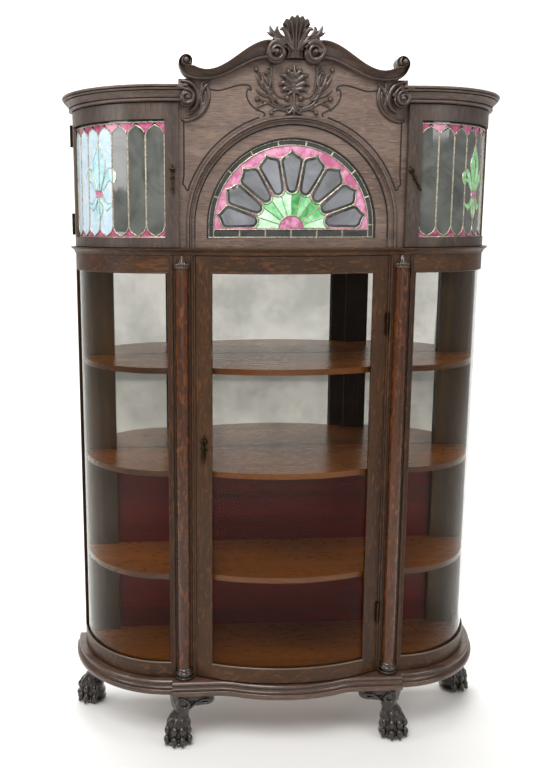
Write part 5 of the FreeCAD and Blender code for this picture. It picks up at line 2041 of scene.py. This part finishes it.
# ------------------------------------------------------------------ pulls
@dataclass
class Pull:
    """Cast escutcheon and the drop that hangs from its cross pin."""

    shop: Shop
    width: float
    height: float
    drop_length: float
    drop_radius: float
    pin_reach: float = 9
    pin_share: float = 0.28

    def escutcheon(self, name: str) -> Thing:
        """Scrolled plate with pierced ends, two ears and a cross pin."""
        w, h = self.width / 2, self.height / 2
        pivot = self.height * self.pin_share
        parts = [ball((0, -0.8, 0), (w * 0.62, 1.6, h * 0.62), fine=20)]
        parts.append(ball((0, -1.2, h * 0.62), (w * 0.55, 1.7, h * 0.2), fine=16))
        parts.append(ball((0, -1.2, -h * 0.62), (w * 0.48, 1.7, h * 0.2), fine=16))
        parts.append(ball((0, -1.2, h * 0.9), (w * 0.2, 1.6, h * 0.11), fine=12))
        parts.append(ball((0, -1.2, -h * 0.9), (w * 0.2, 1.6, h * 0.11), fine=12))
        for side in (-1, 1):
            for level in (-0.3, 0.34):
                eye = (side * w * 0.55, h * level)
                parts.append(
                    rod(
                        spiral(
                            eye, (w * 0.34, w * 0.12), (90, 90 - side * 420), 12, -1.6,
                        ), [1.3], 2,
                    )
                )
            ear = [(side * 4, 0, pivot), (side * 4, -self.pin_reach, pivot)]
            parts.append(rod(ear, [3.6, 3.4], 4, False))
        parts.append(
            rod([(-5, -self.pin_reach, pivot), (5, -self.pin_reach, pivot)], [2], 4, False)
        )
        return carved(parts, name, 0.55, 1)

    def drop(self, name: str) -> Thing:
        """Turned drop with its eye, hanging from the pin."""
        pivot = self.height * self.pin_share
        length, radius, y = self.drop_length, self.drop_radius, -self.pin_reach
        outline = [
            (0, -length), (radius * 0.45, -length * 0.99), (radius * 0.72, -length * 0.955),
            (radius * 0.55, -length * 0.925), (radius * 0.95, -length * 0.88),
            (radius * 1.02, -length * 0.8), (radius * 0.8, -length * 0.66),
            (radius * 0.56, -length * 0.5), (radius * 0.44, -length * 0.38),
            (radius * 0.66, -length * 0.33), (radius * 0.68, -length * 0.29),
            (radius * 0.42, -length * 0.24), (radius * 0.38, -length * 0.05), (0, -3.6),
        ]
        body = turning([(r, z) for r, z in outline], (0, y, pivot), 0, 360, 20)
        ring = [(0, *polar((y, pivot), 3.3, angle)) for angle in range(0, 361, 20)]
        return carved([body, rod(ring, [1.25], 3, False)], name, 0.5, 1)

    def hang(
        self, place: Point, turn: float, tilt: float, names: Sequence[str], bodies: Sequence[str],
    ) -> None:
        """Makes plate and drop and puts them on their door.

        Args:
            place: Middle of the plate on the door's face.
            turn: Turn about Z, in degrees, square to a bowed door.
            tilt: Turn about Y, in degrees, of a plate that has slipped.
            names: Plate's and drop's names, which end the CAD nodes' names.
            bodies: Their bodies.
        """
        spot = Matrix.Translation([value * MM for value in place])
        move = spot @ Matrix.Rotation(
            math.radians(turn), 4, "Z",
        ) @ Matrix.Rotation(math.radians(tilt), 4, "Y")
        for maker, name, body in (
            (self.escutcheon, names[0], bodies[0]), (self.drop, names[1], bodies[1]),
        ):
            piece = maker(name + "_brass")
            piece.data.transform(move)
            self.shop.fit(piece, body, self.shop.finishes.brass, "brass")
            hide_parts(name)


@dataclass
class Pulls:
    """Places of the three pulls: one on the middle door and one on each upper door."""

    shop: Shop
    door_x: float = 235.25
    door_z: float = 875
    upper_x: float = 314
    upper_z: float = 1589
    slipped: float = -26

    def build(self) -> None:
        """Hangs all three."""
        plan = self.shop.plan
        turn = -math.degrees(math.asin(self.door_x / plan.bow_radius()))
        place = (-self.door_x, plan.bow(self.door_x), self.door_z)
        names, bodies = ("door_escutcheon", "door_pull"), ("main_door", "door_drop")
        Pull(self.shop, 24, 60, 64, 5.2).hang(place, turn, 0, names, bodies)
        small = Pull(self.shop, 13, 54, 60, 4)
        for sign, side in SIDES:
            names = (side + "_upper_escutcheon", side + "_upper_pull")
            bodies = (side + "_upper_door", side + "_upper_drop")
            tilt = self.slipped if sign > 0 else 0
            small.hang((sign * self.upper_x, 0, self.upper_z), 0, tilt, names, bodies)


# ------------------------------------------------------------------ studio
@dataclass
class Studio:
    """Pale floor that sweeps up behind, soft lamps and the camera."""

    eye: Point = (-0.3498, -2.4554, 1.4691)
    heading: float = 0.0578
    dip: float = 0.1795
    roll: float = -0.001
    focal: float = 41.72
    shift: float = 0.0891
    floor_half: float = 7
    floor_drop: float = 0.0005
    lamps: tuple = (
        ((-0.9, -2.4, 3.9), (0, 0, 1.2), 1.8, 130), ((2.6, -2, 2.6), (0, 0, 1), 1.4, 35),
        ((-2.7, -1, 2.2), (0, 0, 1), 1.2, 30), ((0, 1.6, 4.4), (0, 4, 1), 3, 260),
        ((0.4, -5.2, 1.9), (0, 0, 1.1), 3.6, 28),
    )

    def floor(self) -> None:
        """Pale matt sheet: a floor with a wall curved up from it."""
        clear()
        outline = [(-6, 0), (3, 0)]
        outline += [polar((3, 1.2), 1.2, angle - 90) for angle in range(10, 91, 10)]
        outline.append((4.2, 6))
        bpy.ops.mesh.primitive_grid_add(x_subdivisions=1, y_subdivisions=len(outline) - 1)
        floor = bpy.context.object
        floor.name = "floor"
        for index, vertex in enumerate(floor.data.vertices):
            y, z = outline[index // 2]
            vertex.co = (self.floor_half * (2 * (index % 2) - 1), y, z - self.floor_drop)
        floor.data.shade_smooth()
        material, _, shader, _ = blank("pale_floor")
        shader.inputs["Base Color"].default_value = linear("e4e3e0")
        shader.inputs["Roughness"].default_value = 0.8
        dress(floor, material)

    def world(self) -> None:
        """Even pale surround, dimmer than the lamps."""
        world = bpy.data.worlds.new("studio")
        bpy.context.scene.world = world
        world.use_nodes = True
        back = world.node_tree.nodes["Background"]
        back.inputs["Color"].default_value = linear("f0f2f4")
        back.inputs["Strength"].default_value = 0.42

    def lamp(self, place: Point, aim: Point, size: float, power: float) -> None:
        """Large soft lamp at a place, aimed at a point."""
        data = bpy.data.lights.new("soft_lamp", "AREA")
        data.shape = "SQUARE"
        data.size = size
        data.energy = power
        lamp = bpy.data.objects.new("soft_lamp", data)
        lamp.location = place
        lamp.rotation_euler = (Vector(aim) - Vector(place)).to_track_quat("-Z", "Y").to_euler()
        bpy.context.scene.collection.objects.link(lamp)

    def camera(self) -> None:
        """Camera at standing eye height, a little left of the middle."""
        data = bpy.data.cameras.new("camera")
        data.sensor_width = 36
        data.sensor_fit = "AUTO"
        data.lens = self.focal
        data.shift_x = self.shift
        data.clip_end = 100
        camera = bpy.data.objects.new("camera", data)
        camera.location = self.eye
        across, ahead = math.sin(self.heading), math.cos(self.heading)
        look = Vector(
            (across * math.cos(self.dip), ahead * math.cos(self.dip), -math.sin(self.dip))
        )
        aim = look.to_track_quat("-Z", "Y").to_matrix().to_4x4()
        camera.rotation_euler = (aim @ Matrix.Rotation(self.roll, 4, "Z")).to_euler()
        bpy.context.scene.collection.objects.link(camera)
        bpy.context.scene.camera = camera

    def build(self) -> None:
        """Sets up floor, surround, lamps and camera."""
        self.floor()
        self.world()
        for place, aim, size, power in self.lamps:
            self.lamp(place, aim, size, power)
        self.camera()
        bpy.context.scene.view_settings.view_transform = "Standard"


def corners(box: Sequence[Vector]) -> list[list[float]]:
    """Both corners of a box as plain lists of numbers."""
    return [[float(value) for value in corner] for corner in box]


def main() -> None:
    """Builds the looks in order."""
    logging.basicConfig(level=logging.INFO, format="%(message)s")
    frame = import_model()
    shop = Shop(Plan.read(), Finishes())
    Studio().build()
    FrameDress(shop).apply(frame["nodes"])
    PawFeet(shop).build()
    Columns(shop).build()
    Beads(shop).build()
    Mouldings(shop).build()
    Pediment(shop).build()
    Frieze(shop).build()
    Lunette(shop).build()
    lights = DoorLights(shop)
    # On the left door the pale lily and the pale outer lights are painted reflection.
    lights.build("left", shop.finishes.blue, shop.finishes.reflection_white)
    lights.build("right", shop.finishes.green, shop.finishes.smoke)
    Pulls(shop).build()


if __name__ == "__main__":
    main()
